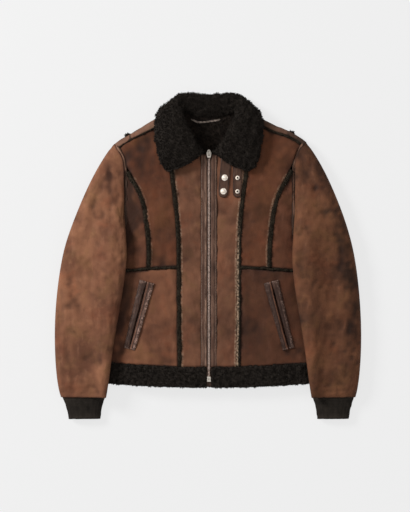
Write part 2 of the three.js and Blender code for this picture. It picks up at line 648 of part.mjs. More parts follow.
/** Rows of the back, from the hem band to the shoulder: the body's edge, and the share of its height. */
const BACK_ROWS = [
  { x: 247, y: -256, share: 0 },
  { x: 247, y: -180, share: 0.13 },
  { x: 247, y: -100, share: 0.27 },
  { x: 246, y: -35, share: 0.38 },
  { x: 245.5, y: 5, share: 0.45 },
  { x: 244, y: 19, share: 0.48 },
  { x: 222, y: 33, share: 0.52 },
  { x: 207, y: 55, share: 0.57 },
  { x: 202.5, y: 100, share: 0.65 },
  { x: 202.6, y: 160, share: 0.74 },
  { x: 203.8, y: 206, share: 0.82 },
  { x: 209, y: 236, share: 0.88 },
  { x: 219.5, y: 254, share: 0.95 },
  { x: 226.5, y: 266, share: 1 },
];

/** The back's top edge: the neckline, then the shoulder's edge. */
function backTop(x) {
  const NECK = { centre: 330, half: 84, rise: 20 };
  return x < NECK.half ? NECK.centre + NECK.rise * (x / NECK.half) ** 2 : shoulderEdge(x);
}

/** Columns of the back, as shares of its half width: closer together where the side rolls. */
const BACK_HALF = [1, 0.985, 0.938, 0.8, 0.6, 0.38, 0.2];
const BACK_COLUMNS = [...BACK_HALF.map((f) => -f), 0, ...BACK_HALF.slice().reverse()];

function back() {
  const rows = BACK_ROWS.map(({ x: edgeX, y: edgeY, share }) => {
    const centreY = lerp(HEM.bandTop, backTop(0), share);
    return BACK_COLUMNS.map((f) => {
      const x = f * edgeX;
      const low = f * f;
      const high = (backTop(Math.abs(x)) - backTop(0)) / (edgeY - centreY || 1);
      const bend = lerp(low, share > 0.9 ? high : low, smooth(0.9, 1, share));
      return new THREE.Vector2(x, centreY + (edgeY - centreY) * bend);
    });
  });
  return wallOver(rows, backWall);
}
add(body, "back", back(), "hide");

/** The wool hem band of the front half on one side, rounded along both edges. */
const BAND_ACROSS = [0, 0.12, 0.5, 0.88, 1];
const BAND_CREST = [0.25, 0.85, 1, 0.85, 0.25];
function hemFront(side) {
  const inner = (v) => new THREE.Vector2(PLACKET.inner, lerp(bandBottom(7), bandTop(7) - GAP, v));
  const outer = (v) => new THREE.Vector2(247, lerp(HEM.bottomAtSide, HEM.bandTopAtSide - GAP, v));
  const grid = ruledGrid(inner, outer, BAND_ACROSS, sideColumns(9), side);
  for (const row of grid) for (const p of row) p.y += 0;
  const pairs = grid.map((row, i) => row.map((p) => {
    const bow = bandTop(p.x) - lerp(bandTop(7), HEM.bandTopAtSide, Math.abs(p.x) / 247);
    const [top, under] = frontWall(p.x, p.y + bow, { rise: HEM.rise * BAND_CREST[i], thickness: HEM.thickness });
    return [top, under];
  }));
  return wallBetween(pairs.map((r) => r.map((q) => q[0])), pairs.map((r) => r.map((q) => q[1])));
}
addPair(body, "hem_front", hemFront, "wool");

function hemBack() {
  const rows = BAND_ACROSS.map((v) => BACK_COLUMNS.map((f) => {
    const x = f * 247;
    return new THREE.Vector2(x, lerp(bandBottom(x), bandTop(x) - GAP, v));
  }));
  return wallOver(rows, (x, y) => backWall(x, y, { thickness: HEM.thickness }));
}
add(body, "hem_back", hemBack(), "wool");

/** How high a sleeve lies at a plan point, because the body's side is under it. */
function bodyUnderSleeve(x, y) {
  const inside = smooth(-34, -2, sideEdge(Math.min(y, 20)) - Math.abs(x));
  return (BODY.underSleeve + 5.5) * inside * smooth(100, 52, y);
}

/** Outer and inner point of a sleeve's section at a turn round it, from the outer edge over the top. */
function sleeveWall(share, turn, side) {
  const at = section(SLEEVE_SECTIONS, share);
  const [outerEdge, innerEdge] = [new THREE.Vector2(at.outerX, at.outerY), new THREE.Vector2(at.innerX, at.innerY)];
  const halfWidth = outerEdge.distanceTo(innerEdge) / 2;
  const halfHeight = at.height / 2;
  const power = 2 / SLEEVE.roundness;
  const [across, up] = [signedPower(Math.cos(turn), power), signedPower(Math.sin(turn), power)];
  const hem = besides(armhole, -ARMHOLE_REACH - CHORD);
  const first = (t) => hem(t).sub(hem(0).lerp(hem(1), t));
  return [0, SKIN].map((inset) => {
    const t = 0.5 - 0.5 * across * (1 - inset / halfWidth);
    const swell = first(t).multiplyScalar(smooth(0.3, 0, share));
    const plan = outerEdge.clone().lerp(innerEdge, t).add(swell);
    const stretchDown = up < 0 ? SLEEVE.flattening : 1;
    let z = Math.max(inset, halfHeight + up * (halfHeight - inset) * stretchDown);
    if (up > 0) z += foldHeight(SLEEVE_FOLDS, plan.x * side, plan.y) * up * smooth(0, 0.12, share);
    const under = bodyUnderSleeve(plan.x, plan.y);
    z += under * lerp(1, SLEEVE.riseShare, clamp(z / at.height, 0, 1));
    return new THREE.Vector3(plan.x * side, plan.y, z);
  });
}

/** The top or the under sleeve: half the turn round a sleeve, parted from the other at the edges. */
function sleeve(side, over) {
  const [from, apart] = over ? [0, HALF_GAP] : [Math.PI, -HALF_GAP];
  const grid = steps(SLEEVE.rows).map((share) => steps(SLEEVE.columns).map((v) => {
    const pair = sleeveWall(share, from + Math.PI * v, side);
    for (const point of pair) point.z += apart * Math.abs(Math.cos(Math.PI * v)) ** 8;
    return pair;
  }));
  return wallBetween(grid.map((row) => row.map((q) => q[0])), grid.map((row) => row.map((q) => q[1])));
}
addPair(sleeves, "sleeve_top", (side) => sleeve(side, true), "hide");
addPair(sleeves, "sleeve_under", (side) => sleeve(side, false), "hide");

/** A rib-knit cuff: ribs raised outside, plain inside, flat where it rests. */
function cuff(side) {
  const count = CUFF.ribs * 2;
  const ring = (at, inset) => Array.from({ length: count }, (_, i) => {
    const turn = (2 * Math.PI * i) / count;
    const power = 2 / CUFF.roundness;
    const [across, up] = [signedPower(Math.cos(turn), power), signedPower(Math.sin(turn), power)];
    const rib = inset ? 0 : CUFF.ribHeight * (i % 2);
    const halfWidth = (at.outerX - at.innerX) / 2;
    const x = at.innerX + halfWidth + across * (halfWidth - inset - CUFF.ribHeight + rib);
    const half = at.height / 2;
    const z = Math.max(inset, half + up * (half - inset + rib) * (up < 0 ? SLEEVE.flattening : 1));
    return new THREE.Vector3(x * side, at.y, z);
  });
  const rings = steps(CUFF.rings).map((v) => section(CUFF_SECTIONS, v));
  return wallBetween(rings.map((at) => ring(at, 0)), rings.map((at) => ring(at, CUFF.thickness)), { round: true });
}
addPair(sleeves, "cuff", cuff, "rib");

/** How high the collar must lie at a plan point to clear the shoulder. */
function bodyUnderCollar(x, y) {
  const depth = (shoulderEdge(x) - y) * Math.cos(SHOULDER_SLOPE);
  return (frontHeight(x, y) + 3.4) * smooth(-24, 8, depth) * smooth(60, 82, x);
}

/** Half the collar, folded over on itself: one rounded solid from centre back to front edge. */
function collar(side) {
  const rings = steps(COLLAR.rings).map((share) => {
    const at = section(COLLAR_SECTIONS, share);
    const line = (t) => new THREE.Vector2(lerp(at.innerX, at.outerX, t), lerp(at.innerY, at.outerY, t));
    const sideways = line(1).sub(line(0)).normalize();
    const towardsHem = new THREE.Vector2(sideways.y, -sideways.x);
    return Array.from({ length: COLLAR.around }, (_, i) => {
      const turn = (2 * Math.PI * (i + 0.5)) / COLLAR.around;
      const power = 2 / COLLAR.roundness;
      const t = 0.5 + 0.5 * signedPower(Math.cos(turn), power);
      const plan = line(t).addScaledVector(towardsHem, at.bow * Math.sin(Math.PI * t));
      const up = 0.5 + 0.5 * signedPower(Math.sin(turn), power);
      const floor = Math.max(lerp(at.floorIn, at.floorOut, t), bodyUnderCollar(plan.x, plan.y));
      const top = Math.max(lerp(at.topIn, at.topOut, t), floor + 12);
      const z = Math.max(floor, lerp(floor - 1.5, top, up));
      return new THREE.Vector3(Math.max(plan.x, HALF_GAP) * side, plan.y, z);
    });
  });
  return loftRings(rings);
}
addPair(collars, "collar", collar, "wool");

/** A straight band along the zip, laid on the front at both sides. */
function alongZip(side, from, to, bottom, top, count, raise) {
  const rows = steps(count).map((v) => [0, 1].map((u) => new THREE.Vector2(lerp(from, to, u) * side, lerp(bottom, top, v))));
  return wallOver(rows, raise);
}

const zipHeight = (y) => frontHeight(0, y);
/** Points level across the zip, between two heights above the front's middle line. */
const level = (low, high) => (x, y) => [
  new THREE.Vector3(x, y, zipHeight(y) + high),
  new THREE.Vector3(x, y, zipHeight(y) + low),
];

addPair(zip, "placket", (side) => {
  const raise = (x, y) => frontWall(x, y, { rise: PLACKET.rise, thickness: PLACKET.thickness });
  return alongZip(side, PLACKET.inner, PLACKET.outer, bandTop(10), PLACKET.top, 14, raise);
}, "leather");
addPair(zip, "zip_tape", (side) => {
  const raise = level(-ZIP.tapeDrop, -ZIP.tapeDrop + ZIP.tapeThickness);
  return alongZip(side, ZIP.tapeInner, PLACKET.inner - GAP, -314, 249, 14, raise);
}, "tape");

const chainLow = -ZIP.tapeDrop + ZIP.tapeThickness + GAP;
const chainEnds = { bottom: BOX.y + BOX.length / 2 + GAP, top: SLIDER.y - SLIDER.length / 2 - GAP };
add(zip, "zip_chain", (() => {
  const half = ZIP.chainWidth / 2;
  const rows = steps(16).map((v) => [-half, half].map((x) => new THREE.Vector2(x, lerp(chainEnds.bottom, chainEnds.top, v))));
  return wallOver(rows, level(chainLow, chainLow + ZIP.chainHeight));
})(), "steel");
const box = add(zip, "zip_box", new THREE.BoxGeometry(BOX.width, BOX.length, BOX.height), "steel");
box.position.set(0, BOX.y, zipHeight(BOX.y) + chainLow + 0.6 + BOX.height / 2);

/** The slider: a tapered body with two ears that hold the pull's pin. */
function slider() {
  const { width, neck, length, height, pinRadius, pinHeight } = SLIDER;
  const outline = [
    [-neck / 2, -length / 2],
    [neck / 2, -length / 2],
    [width / 2, length * 0.1],
    [width / 2, length * 0.36],
    [width / 3, length / 2],
    [-width / 3, length / 2],
    [-width / 2, length * 0.36],
    [-width / 2, length * 0.1],
  ].map(([x, y]) => new THREE.Vector2(x, y));
  const EAR = { inner: 2.6, thickness: 1.1, half: 2 };
  let made = asManifold(prism(outline, 0, height));
  for (const sign of [-1, 1]) {
    const ear = new THREE.BoxGeometry(EAR.thickness, EAR.half * 2, pinHeight - height + EAR.half + 0.5);
    ear.translate(sign * (EAR.inner + EAR.thickness / 2), 0, (pinHeight + height + EAR.half - 0.5) / 2);
    made = made.add(asManifold(ear));
  }
  const pin = new THREE.CylinderGeometry(pinRadius, pinRadius, EAR.inner * 2 + 1, 12).rotateZ(Math.PI / 2);
  made = made.add(asManifold(pin.translate(0, 0, pinHeight)));
  return asGeometry(made);
}

/** The pull: an eye round the pin and a blade with a slot, lying towards the collar. */
function pull() {
  const { hubRadius, boreRadius, width, blade, length, thickness } = PULL;
  const across = (shape, x) => new THREE.ExtrudeGeometry(shape, { depth: x, bevelEnabled: false, curveSegments: 10 })
    .rotateY(Math.PI / 2).translate(-x / 2, 0, 0);
  const round = (radius) => new THREE.Shape().absarc(0, 0, radius, 0, 2 * Math.PI, false);
  const neck = new THREE.BoxGeometry(width, 3.6, thickness).translate(0, 3.2, 0);
  const half = blade / 2;
  const outline = [[-width / 2, 4], [width / 2, 4], [half, 5.6], [half, length - 2], [half - 2, length]];
  const mirrored = outline.slice(2).map(([x, y]) => [-x, y]).reverse();
  const plate = prism([...outline, ...mirrored].map(([x, y]) => new THREE.Vector2(x, y)), -thickness / 2, thickness / 2);
  const slot = new THREE.BoxGeometry(2.4, 2.8, thickness * 3).translate(0, length - 3.6, 0);
  const eye = asManifold(across(round(hubRadius), width));
  const bore = asManifold(across(round(boreRadius), width * 2));
  return asGeometry(eye.add(asManifold(neck)).add(asManifold(plate)).subtract(bore).subtract(asManifold(slot)));
}

const sliderBase = zipHeight(SLIDER.y) + chainLow + 0.2;
const PULL_REST_TURN = THREE.MathUtils.degToRad(14);
add(zip, "zip_slider", slider(), "steel").position.set(0, SLIDER.y, sliderBase);
const puller = add(zip, "zip_pull", pull(), "steel");
puller.position.set(0, SLIDER.y, sliderBase + SLIDER.pinHeight);
puller.rotation.x = PULL_REST_TURN;

/** A welt of a pocket, by its distances across at the top and bottom ends, on the lower panel. */
function welt(side, top, bottom) {
  const rows = steps(8).map((v) => [0, 0.5, 1].map((u) =>
    pocketPoint(v, lerp(lerp(top[0], bottom[0], v), lerp(top[1], bottom[1], v), u), side)));
  const CREST = [0, 0.6, 0];
  const pairs = rows.map((row) => row.map((p, j) => {
    const [skin] = frontWall(p.x, p.y);
    const under = skin.clone().setZ(skin.z + GAP);
    return [skin.setZ(skin.z + GAP + POCKET.thickness + CREST[j]), under];
  }));
  return wallBetween(pairs.map((r) => r.map((q) => q[0])), pairs.map((r) => r.map((q) => q[1])));
}
addPair(pockets, "welt_side", (side) => welt(side, [1.2, 17.5], [1.2, 13.5]), "leather");
addPair(pockets, "welt_front", (side) => welt(side, [-18.5, -1.2], [-14, -1.2]), "leather");

/** A throat-latch tab with a round end, from under the collar down the right front. */
function latchTab(topX, topY, bottomX, bottomY, halfTop, halfBottom) {
  const [top, bottom] = [new THREE.Vector2(topX, topY), new THREE.Vector2(bottomX, bottomY)];
  const way = bottom.clone().sub(top).normalize();
  const sideways = new THREE.Vector2(-way.y, way.x);
  const ROUND_END = [0, 0.5, 0.8, 0.95];
  const straight = 1 - halfBottom / top.distanceTo(bottom);
  const places = [
    ...steps(6).map((v) => ({ along: v * straight, share: 1 })),
    ...ROUND_END.slice(1).map((v) => ({ along: straight + (1 - straight) * v, share: Math.sqrt(1 - v * v) })),
  ];
  const rows = places.map(({ along, share }) => {
    const half = lerp(halfTop, halfBottom, along) * share;
    return [-1, 0, 1].map((u) => top.clone().lerp(bottom, along).addScaledVector(sideways, u * half));
  });
  return wallOver(rows, (x, y) => {
    const z = frontHeight(x, y) + LATCH.clearance;
    return [new THREE.Vector3(x, y, z + LATCH.thickness), new THREE.Vector3(x, y, z)];
  });
}
add(latch, "latch_tab_cap", latchTab(42, 236, 33.5, 139, 12.8, 11.6), "leather");
add(latch, "latch_tab_stud", latchTab(68.5, 228, 68, 139, 10.4, 10.2), "leather");

/** Puts a turned fitting on a tab at a plan point. */
function addSnap(name, profile, x, y) {
  const rim = SNAP.capRadius;
  const z = Math.max(...[-rim, 0, rim].map((d) => frontHeight(x, y + d))) + LATCH.clearance + LATCH.thickness + GAP;
  const points = profile.map(([radius, height]) => new THREE.Vector2(radius, height));
  const mesh = add(latch, name, new THREE.LatheGeometry(points, 16), "steel");
  mesh.rotation.x = Math.PI / 2;
  mesh.position.set(x, y, z);
}
const { capRadius, capHeight, studRadius, postRadius, studHeight } = SNAP;
const CAP_PROFILE = [
  [0, 0], [capRadius, 0], [capRadius, capHeight * 0.4], [capRadius * 0.85, capHeight * 0.8],
  [capRadius * 0.5, capHeight], [0, capHeight],
];
const STUD_PROFILE = [
  [0, 0], [studRadius, 0], [studRadius, 1], [studRadius * 0.8, 1.4], [postRadius, 1.2],
  [postRadius * 0.9, studHeight * 0.6], [postRadius * 1.15, studHeight * 0.85], [postRadius * 0.8, studHeight], [0, studHeight],
];
addSnap("snap_cap_upper", CAP_PROFILE, 37.8, 187);
addSnap("snap_cap_lower", CAP_PROFILE, 34.8, 154.3);
addSnap("snap_stud_upper", STUD_PROFILE, 68.5, 186.5);
addSnap("snap_stud_lower", STUD_PROFILE, 68.3, 154);

/** The chain that the coat hangs by, slack along the back of the neck. */
function hangerChain() {
  const z = SKIN + GAP + HANGER.radius;
  const ROUTE = [[-41, 328.5], [-34, 325], [-27, 321.5], [-14, 322], [0, 323.5], [14, 325.5], [26, 328]];
  const path = new THREE.CatmullRomCurve3(ROUTE.map(([x, y]) => new THREE.Vector3(x, y, z)));
  const SIDES = 6;
  const circle = Array.from({ length: SIDES }, (_, i) => {
    const turn = (2 * Math.PI * i) / SIDES;
    return new THREE.Vector2(Math.cos(turn), Math.sin(turn)).multiplyScalar(HANGER.radius);
  });
  return new THREE.ExtrudeGeometry(new THREE.Shape(circle), { extrudePath: path, steps: 12, bevelEnabled: false });
}
add(collars, "hanger_chain", hangerChain(), "steel");

// The coat lies a little unevenly: its right shoulder is pushed up and out, and its left sleeve
// is spread from the elbow down.
const LIE = { shoulder: { out: 3.3, up: 6.5 }, sleeve: { out: 4.4 } };
function lie(x, y) {
  const outward = smooth(110, 190, x) * smooth(-140, 60, y);
  const upward = smooth(140, 200, x) * smooth(60, 250, y);
  const spread = smooth(215, 345, -x) * smooth(100, 25, y) * smooth(-420, -300, y);
  return [x + LIE.shoulder.out * outward - LIE.sleeve.out * spread, y + LIE.shoulder.up * upward];
}
for (const group of [body, sleeves]) {
  for (const { geometry } of group.children) {
    const { position } = geometry.attributes;
    for (let i = 0; i < position.count; i++) position.setXY(i, ...lie(position.getX(i), position.getY(i)));
  }
}

// The origin is the middle of the whole coat's box, on the ground.
const whole = new THREE.Box3().setFromObject(coat);
const middle = whole.getCenter(new THREE.Vector3());
coat.position.set(-middle.x, -middle.y, 0);

export default coat;
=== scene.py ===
"""Looks of a short shearling coat that lies on its back, over its measured frame.

Metres, +X to the right as the coat lies, +Y from the hem to the collar, +Z up. Each class
dresses one sub-assembly: hide panels, wool seams and bands, sleeves and cuffs, collar, zip,
pockets, throat latch and hanger chain. Surfaces are refined from the frame's own solids.
"""

from __future__ import annotations

import logging
import math
from collections.abc import Callable, Iterable, Sequence
from dataclasses import dataclass, field
from enum import Enum

import bmesh
import bpy
import numpy as np
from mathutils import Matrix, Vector
from mathutils.kdtree import KDTree

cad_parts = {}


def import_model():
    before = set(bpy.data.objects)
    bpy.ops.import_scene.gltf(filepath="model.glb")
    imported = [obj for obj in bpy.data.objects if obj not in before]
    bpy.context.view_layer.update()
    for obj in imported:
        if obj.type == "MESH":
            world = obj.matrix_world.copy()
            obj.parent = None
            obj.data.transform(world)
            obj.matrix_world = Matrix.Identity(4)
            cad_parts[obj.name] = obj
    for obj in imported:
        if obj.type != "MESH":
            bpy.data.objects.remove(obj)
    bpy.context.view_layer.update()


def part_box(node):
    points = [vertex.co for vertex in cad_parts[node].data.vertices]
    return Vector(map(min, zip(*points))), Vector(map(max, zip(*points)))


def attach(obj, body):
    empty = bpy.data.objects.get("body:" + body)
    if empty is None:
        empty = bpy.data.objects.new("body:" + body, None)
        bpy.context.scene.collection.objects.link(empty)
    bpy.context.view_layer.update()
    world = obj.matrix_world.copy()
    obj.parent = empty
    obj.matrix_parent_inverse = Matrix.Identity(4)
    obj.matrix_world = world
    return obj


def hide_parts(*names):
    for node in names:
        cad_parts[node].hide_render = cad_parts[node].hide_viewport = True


LOG = logging.getLogger("coat")
MM = 0.001
SIDES = {"left": -1, "right": 1}
ORIGIN = (0.0022, 0.0001)  # the cutting plan's zero in the frame
Points = np.ndarray
Colour = tuple[float, float, float]


def srgb(red: int, green: int, blue: int) -> Colour:
    """Turns a screen colour of 0 to 255 into linear values."""
    parts = (v / 255 for v in (red, green, blue))
    return tuple(v / 12.92 if v <= 0.04045 else ((v + 0.055) / 1.055) ** 2.4 for v in parts)


def ease(start: float, end: float, value: Points | float) -> Points:
    """Eases from 0 at start to 1 at end, whichever is larger."""
    share = np.clip((np.asarray(value, float) - start) / (end - start), 0, 1)
    return share * share * (3 - 2 * share)


def lie(plan: Points) -> Points:
    """Moves points of the cutting plan to where they lie in the frame.

    The right shoulder is pushed up and out, and the left sleeve is spread from the elbow down.

    Args:
        plan: rows of x and y in metres.

    Returns:
        The same rows in the frame.
    """
    x, y = plan[:, 0], plan[:, 1]
    outward = 3.3 * MM * ease(0.110, 0.190, x) * ease(-0.140, 0.060, y)
    upward = 6.5 * MM * ease(0.140, 0.200, x) * ease(0.060, 0.250, y)
    spread = 4.4 * MM * ease(0.215, 0.345, -x) * ease(0.100, 0.025, y) * ease(-0.420, -0.300, y)
    return np.column_stack([x + outward - spread + ORIGIN[0], y + upward + ORIGIN[1]])


class Wire:
    """A shader socket that is written as a value in Python expressions."""

    def __init__(self, shader: Shader, socket: bpy.types.NodeSocket) -> None:
        """Keeps the socket and the material that it is in."""
        self.shader = shader
        self.socket = socket

    def _math(self, operation: str, *values: Wire | float) -> Wire:
        """Adds a Math node on these values."""
        return self.shader.node("ShaderNodeMath", {"operation": operation}, dict(enumerate(values)))

    def __add__(self, other: Wire | float) -> Wire:
        """Sum."""
        return self._math("ADD", self, other)

    __radd__ = __add__

    def __sub__(self, other: Wire | float) -> Wire:
        """Difference."""
        return self._math("SUBTRACT", self, other)

    def __rsub__(self, other: float) -> Wire:
        """Difference from a number."""
        return self._math("SUBTRACT", other, self)

    def __mul__(self, other: Wire | float) -> Wire:
        """Product."""
        return self._math("MULTIPLY", self, other)

    __rmul__ = __mul__

    def __truediv__(self, other: Wire | float) -> Wire:
        """Quotient."""
        return self._math("DIVIDE", self, other)

    def __pow__(self, other: float) -> Wire:
        """Power."""
        return self._math("POWER", self, other)

    def sine(self) -> Wire:
        """Sine."""
        return self._math("SINE", self)

    def above(self, low: float, high: float) -> Wire:
        """Eases from 0 at low to 1 at high."""
        settings = {"interpolation_type": "SMOOTHSTEP"}
        return self.shader.node("ShaderNodeMapRange", settings, {"Value": self, "From Min": low, "From Max": high})


class Shader:
    """One material, built by expressions on sockets."""

    def __init__(self, name: str) -> None:
        """Makes the material with a Principled shader and an output."""
        self.material = bpy.data.materials.new(name)
        self.material.use_nodes = True
        self.tree = self.material.node_tree
        self.principled = self.tree.nodes["Principled BSDF"]

    def node(
        self,
        kind: str,
        settings: dict[str, object] | None = None,
        inputs: dict[str | int, object] | None = None,
        output: str | int = 0,
    ) -> Wire:
        """Adds a node.

        Args:
            kind: the node's type.
            settings: its properties, set before its sockets.
            inputs: values or wires by socket name or number.
            output: the socket to return.

        Returns:
            The output as a wire.
        """
        made = self.tree.nodes.new(kind)
        for key, value in (settings or {}).items():
            setattr(made, key, value)
        for key, value in (inputs or {}).items():
            socket = made.inputs[key]
            if isinstance(value, Wire):
                self.tree.links.new(value.socket, socket)
            elif isinstance(value, tuple) and len(value) == 3 and socket.type == "RGBA":
                socket.default_value = (*value, 1)
            else:
                socket.default_value = value
        return Wire(self, made.outputs[output])

    def place(self) -> Wire:
        """The point's own place, which moves with its piece."""
        return self.node("ShaderNodeTexCoord", output="Object")

    def noise(self, scale: float, detail: float = 3, rough: float = 0.5, at: Wire | None = None) -> Wire:
        """Cloudy noise of about 0 to 1 round 0.5."""
        inputs = {"Vector": at or self.place(), "Scale": scale, "Detail": detail, "Roughness": rough}
        return self.node("ShaderNodeTexNoise", {"noise_dimensions": "3D"}, inputs)

    def cells(self, scale: float, feature: str = "F1", at: Wire | None = None) -> Wire:
        """Distance in a pattern of cells."""
        inputs = {"Vector": at or self.place(), "Scale": scale}
        return self.node("ShaderNodeTexVoronoi", {"feature": feature}, inputs, "Distance")

    def stretched(self, scale: tuple[float, float, float], turn: float = 0.0) -> Wire:
        """The place, turned round Z and stretched, for patterns with a direction."""
        return self.node(
            "ShaderNodeMapping", {}, {"Vector": self.place(), "Rotation": (0, 0, turn), "Scale": scale}, "Vector"
        )

    def painted(self, name: str) -> Wire:
        """A number that is stored on the mesh's points."""
        return self.node("ShaderNodeAttribute", {"attribute_name": name}, output="Fac")

    def mix(self, factor: Wire | float, first: Wire | Colour, second: Wire | Colour, how: str = "MIX") -> Wire:
        """Mixes two colours."""
        made = self.tree.nodes.new("ShaderNodeMix")
        made.data_type, made.blend_type = "RGBA", how
        for key, value in ((0, factor), (6, first), (7, second)):
            if isinstance(value, Wire):
                self.tree.links.new(value.socket, made.inputs[key])
            else:
                made.inputs[key].default_value = (*value, 1) if isinstance(value, tuple) else value
        return Wire(self, made.outputs[2])

    def bump(self, height: Wire, distance: float, strength: float = 1.0, under: Wire | None = None) -> Wire:
        """A bump from a height of 0 to 1 times a distance in metres, on top of another bump."""
        inputs = {"Strength": strength, "Distance": distance, "Height": height}
        if under is not None:
            inputs["Normal"] = under
        return self.node("ShaderNodeBump", {}, inputs)

    def dress(self, **sockets: object) -> bpy.types.Material:
        """Sets the Principled shader's sockets, named with _ for a space, and returns the material."""
        for key, value in sockets.items():
            socket = self.principled.inputs[key.replace("_", " ")]
            if isinstance(value, Wire):
                self.tree.links.new(value.socket, socket)
            else:
                socket.default_value = (*value, 1) if isinstance(value, tuple) and len(value) == 3 else value
        return self.material


@dataclass(frozen=True)
class HideFinish:
    """Waxed suede side of a shearling hide: softly mottled, dry, rubbed at its raw edges."""

    name: str
    light: Colour
    base: Colour
    dark: Colour
    seed: float = 0.0
    edge: Colour = (0.27, 0.175, 0.115)

    def make(self) -> bpy.types.Material:
        """Builds the material from patches, soft grain, scuffs, nap and the mesh's painted tone and rim; the tone
        carries painted shade and painted light as well as random tone.

        Returns:
            The material.
        """
        s = Shader(self.name)
        here = s.node("ShaderNodeVectorMath", {"operation": "ADD"}, {0: s.place(), 1: (self.seed, self.seed, 0)})
        patch = s.noise(13, 3, 0.5, here)
        mottle = s.noise(42, 4, 0.6, here)
        grain = s.noise(1, 4, 0.62, s.stretched((75, 22, 40), 0.12 * self.seed))
        fine = s.noise(300, 4, 0.65, here)
        colour = s.mix(patch.above(0.46, 0.68) * 0.45, self.base, self.light)
        colour = s.mix(patch.above(0.5, 0.32) * 0.5, colour, self.dark)
        colour = s.mix(mottle.above(0.54, 0.72) * 0.28, colour, self.light)
        colour = s.mix(mottle.above(0.46, 0.28) * 0.26, colour, self.dark)
        colour = s.mix(grain.above(0.55, 0.75) * 0.3, colour, self.light)
        colour = s.mix(grain.above(0.45, 0.27) * 0.36, colour, self.dark)
        colour = s.mix(fine.above(0.6, 0.78) * 0.16, colour, self.light)
        colour = s.mix(fine.above(0.42, 0.24) * 0.25, colour, self.dark)
        drift = s.noise(19, 3, 0.6, s.node("ShaderNodeVectorMath", {"operation": "ADD"}, {0: here, 1: (3.1, 1.7, 0.4)}))
        colour = s.mix(drift.above(0.52, 0.68) * 0.7, colour, (1.10, 0.95, 0.89), "MULTIPLY")
        colour = s.mix(drift.above(0.48, 0.34) * 0.7, colour, (0.92, 1.0, 0.86), "MULTIPLY")
        # The painted tone holds random tone and painted shade and light: high tone lightens the hide as painted light,
        # low tone darkens it as painted shade.
        tone = s.painted("tone")
        colour = s.mix(tone.above(0.5, 1.0) * 0.7, colour, self.light)
        colour = s.mix(tone.above(0.5, 0.0) * 0.9, colour, tuple(v * 0.5 for v in self.dark))
        speck = s.noise(230, 2, 0.6).above(0.44, 0.56) * s.noise(62, 2, 0.5).above(0.36, 0.52)
        colour = s.mix(s.painted("rim") * (0.16 + 0.84 * speck), colour, self.edge)
        nap = s.bump(fine, 0.0003, 0.35)
        soft = s.bump(mottle + grain * 0.6, 0.0022, 0.3, nap)
        rough = 0.9 - 0.12 * grain.above(0.45, 0.75) - 0.06 * fine
        return s.dress(Base_Color=colour, Roughness=rough, Normal=soft, Specular_IOR_Level=0.25)


@dataclass(frozen=True)
class WoolFinish:
    """Clipped curly wool, nearly black, a little browner at its tips."""

    name: str
    base: Colour
    tip: Colour
    scale: float = 150.0
    worn: Colour = (0.27, 0.185, 0.125)

    def make(self) -> bpy.types.Material:
        """Builds the material from curls at two sizes and the mesh's painted rim.

        Returns:
            The material.
        """
        s = Shader(self.name)
        curl = s.cells(self.scale)
        clump = s.noise(45, 3, 0.6)
        fibre = s.noise(900, 2, 0.6)
        colour = s.mix(clump.above(0.35, 0.7) * 0.6, self.base, self.tip)
        # Painted shade: the wool is darker between the curls, where the bump is lowest.
        colour = s.mix(curl.above(0.15, 0.6) * 0.5, colour, tuple(v * 0.55 for v in self.base))
        speck = s.noise(230, 2, 0.6).above(0.44, 0.56)
        colour = s.mix(s.painted("rim") * (0.12 + 0.88 * speck), colour, self.worn)
        height = (1 - curl) * 0.7 + fibre * 0.3
        return s.dress(
            Base_Color=colour, Roughness=0.95 - 0.06 * fibre, Normal=s.bump(height, 0.0018, 0.5), Specular_IOR_Level=0.12
        )


@dataclass(frozen=True)
class LeatherFinish:
    """Smooth leather trim with fine grain and rubbed streaks and scuffs; its painted tone lightens it with painted
    highlight and random tone, and darkens it with painted shade.
    """

    name: str
    base: Colour
    worn: Colour
    rough: float = 0.5

    def make(self) -> bpy.types.Material:
        """Builds the material from grain, rubbing and the mesh's painted tone and rim.

        Returns:
            The material.
        """
        s = Shader(self.name)
        grain = s.cells(850, "F1")
        rub = s.noise(60, 4, 0.6)
        streak = s.noise(1, 3, 0.5, s.stretched((260, 24, 60)))
        tone = s.painted("tone")
        colour = s.mix(rub.above(0.35, 0.65) * 0.6 + 0.2, tuple(v * 0.72 for v in self.base), self.base)
        colour = s.mix(streak.above(0.5, 0.7) * 0.3, colour, self.worn)
        # Painted highlight and shade: where the painted tone is high, as on the plackets' ridges, the colour goes
        # towards the worn colour; where it is low, at edges and hollows, it darkens.
        colour = s.mix(tone.above(0.5, 1.0) * 0.85, colour, self.worn)
        colour = s.mix(tone.above(0.5, 0.0) * 0.9, colour, tuple(v * 0.2 for v in self.base))
        colour = s.mix(s.painted("warm"), colour, (0.215, 0.085, 0.045))
        scuff = s.painted("rim") * (0.1 + 0.9 * s.noise(330, 3, 0.65).above(0.49, 0.6))
        colour = s.mix(scuff, colour, tuple(min(1.0, v * 2.1 + 0.08) for v in self.worn))
        height = s.bump(1 - grain, 0.0002, 0.4)
        rough = self.rough + 0.15 * (1 - rub) + 0.2 * scuff
        return s.dress(
            Base_Color=colour, Roughness=rough, Normal=s.bump(rub, 0.0006, 0.3, height), Specular_IOR_Level=0.22
        )


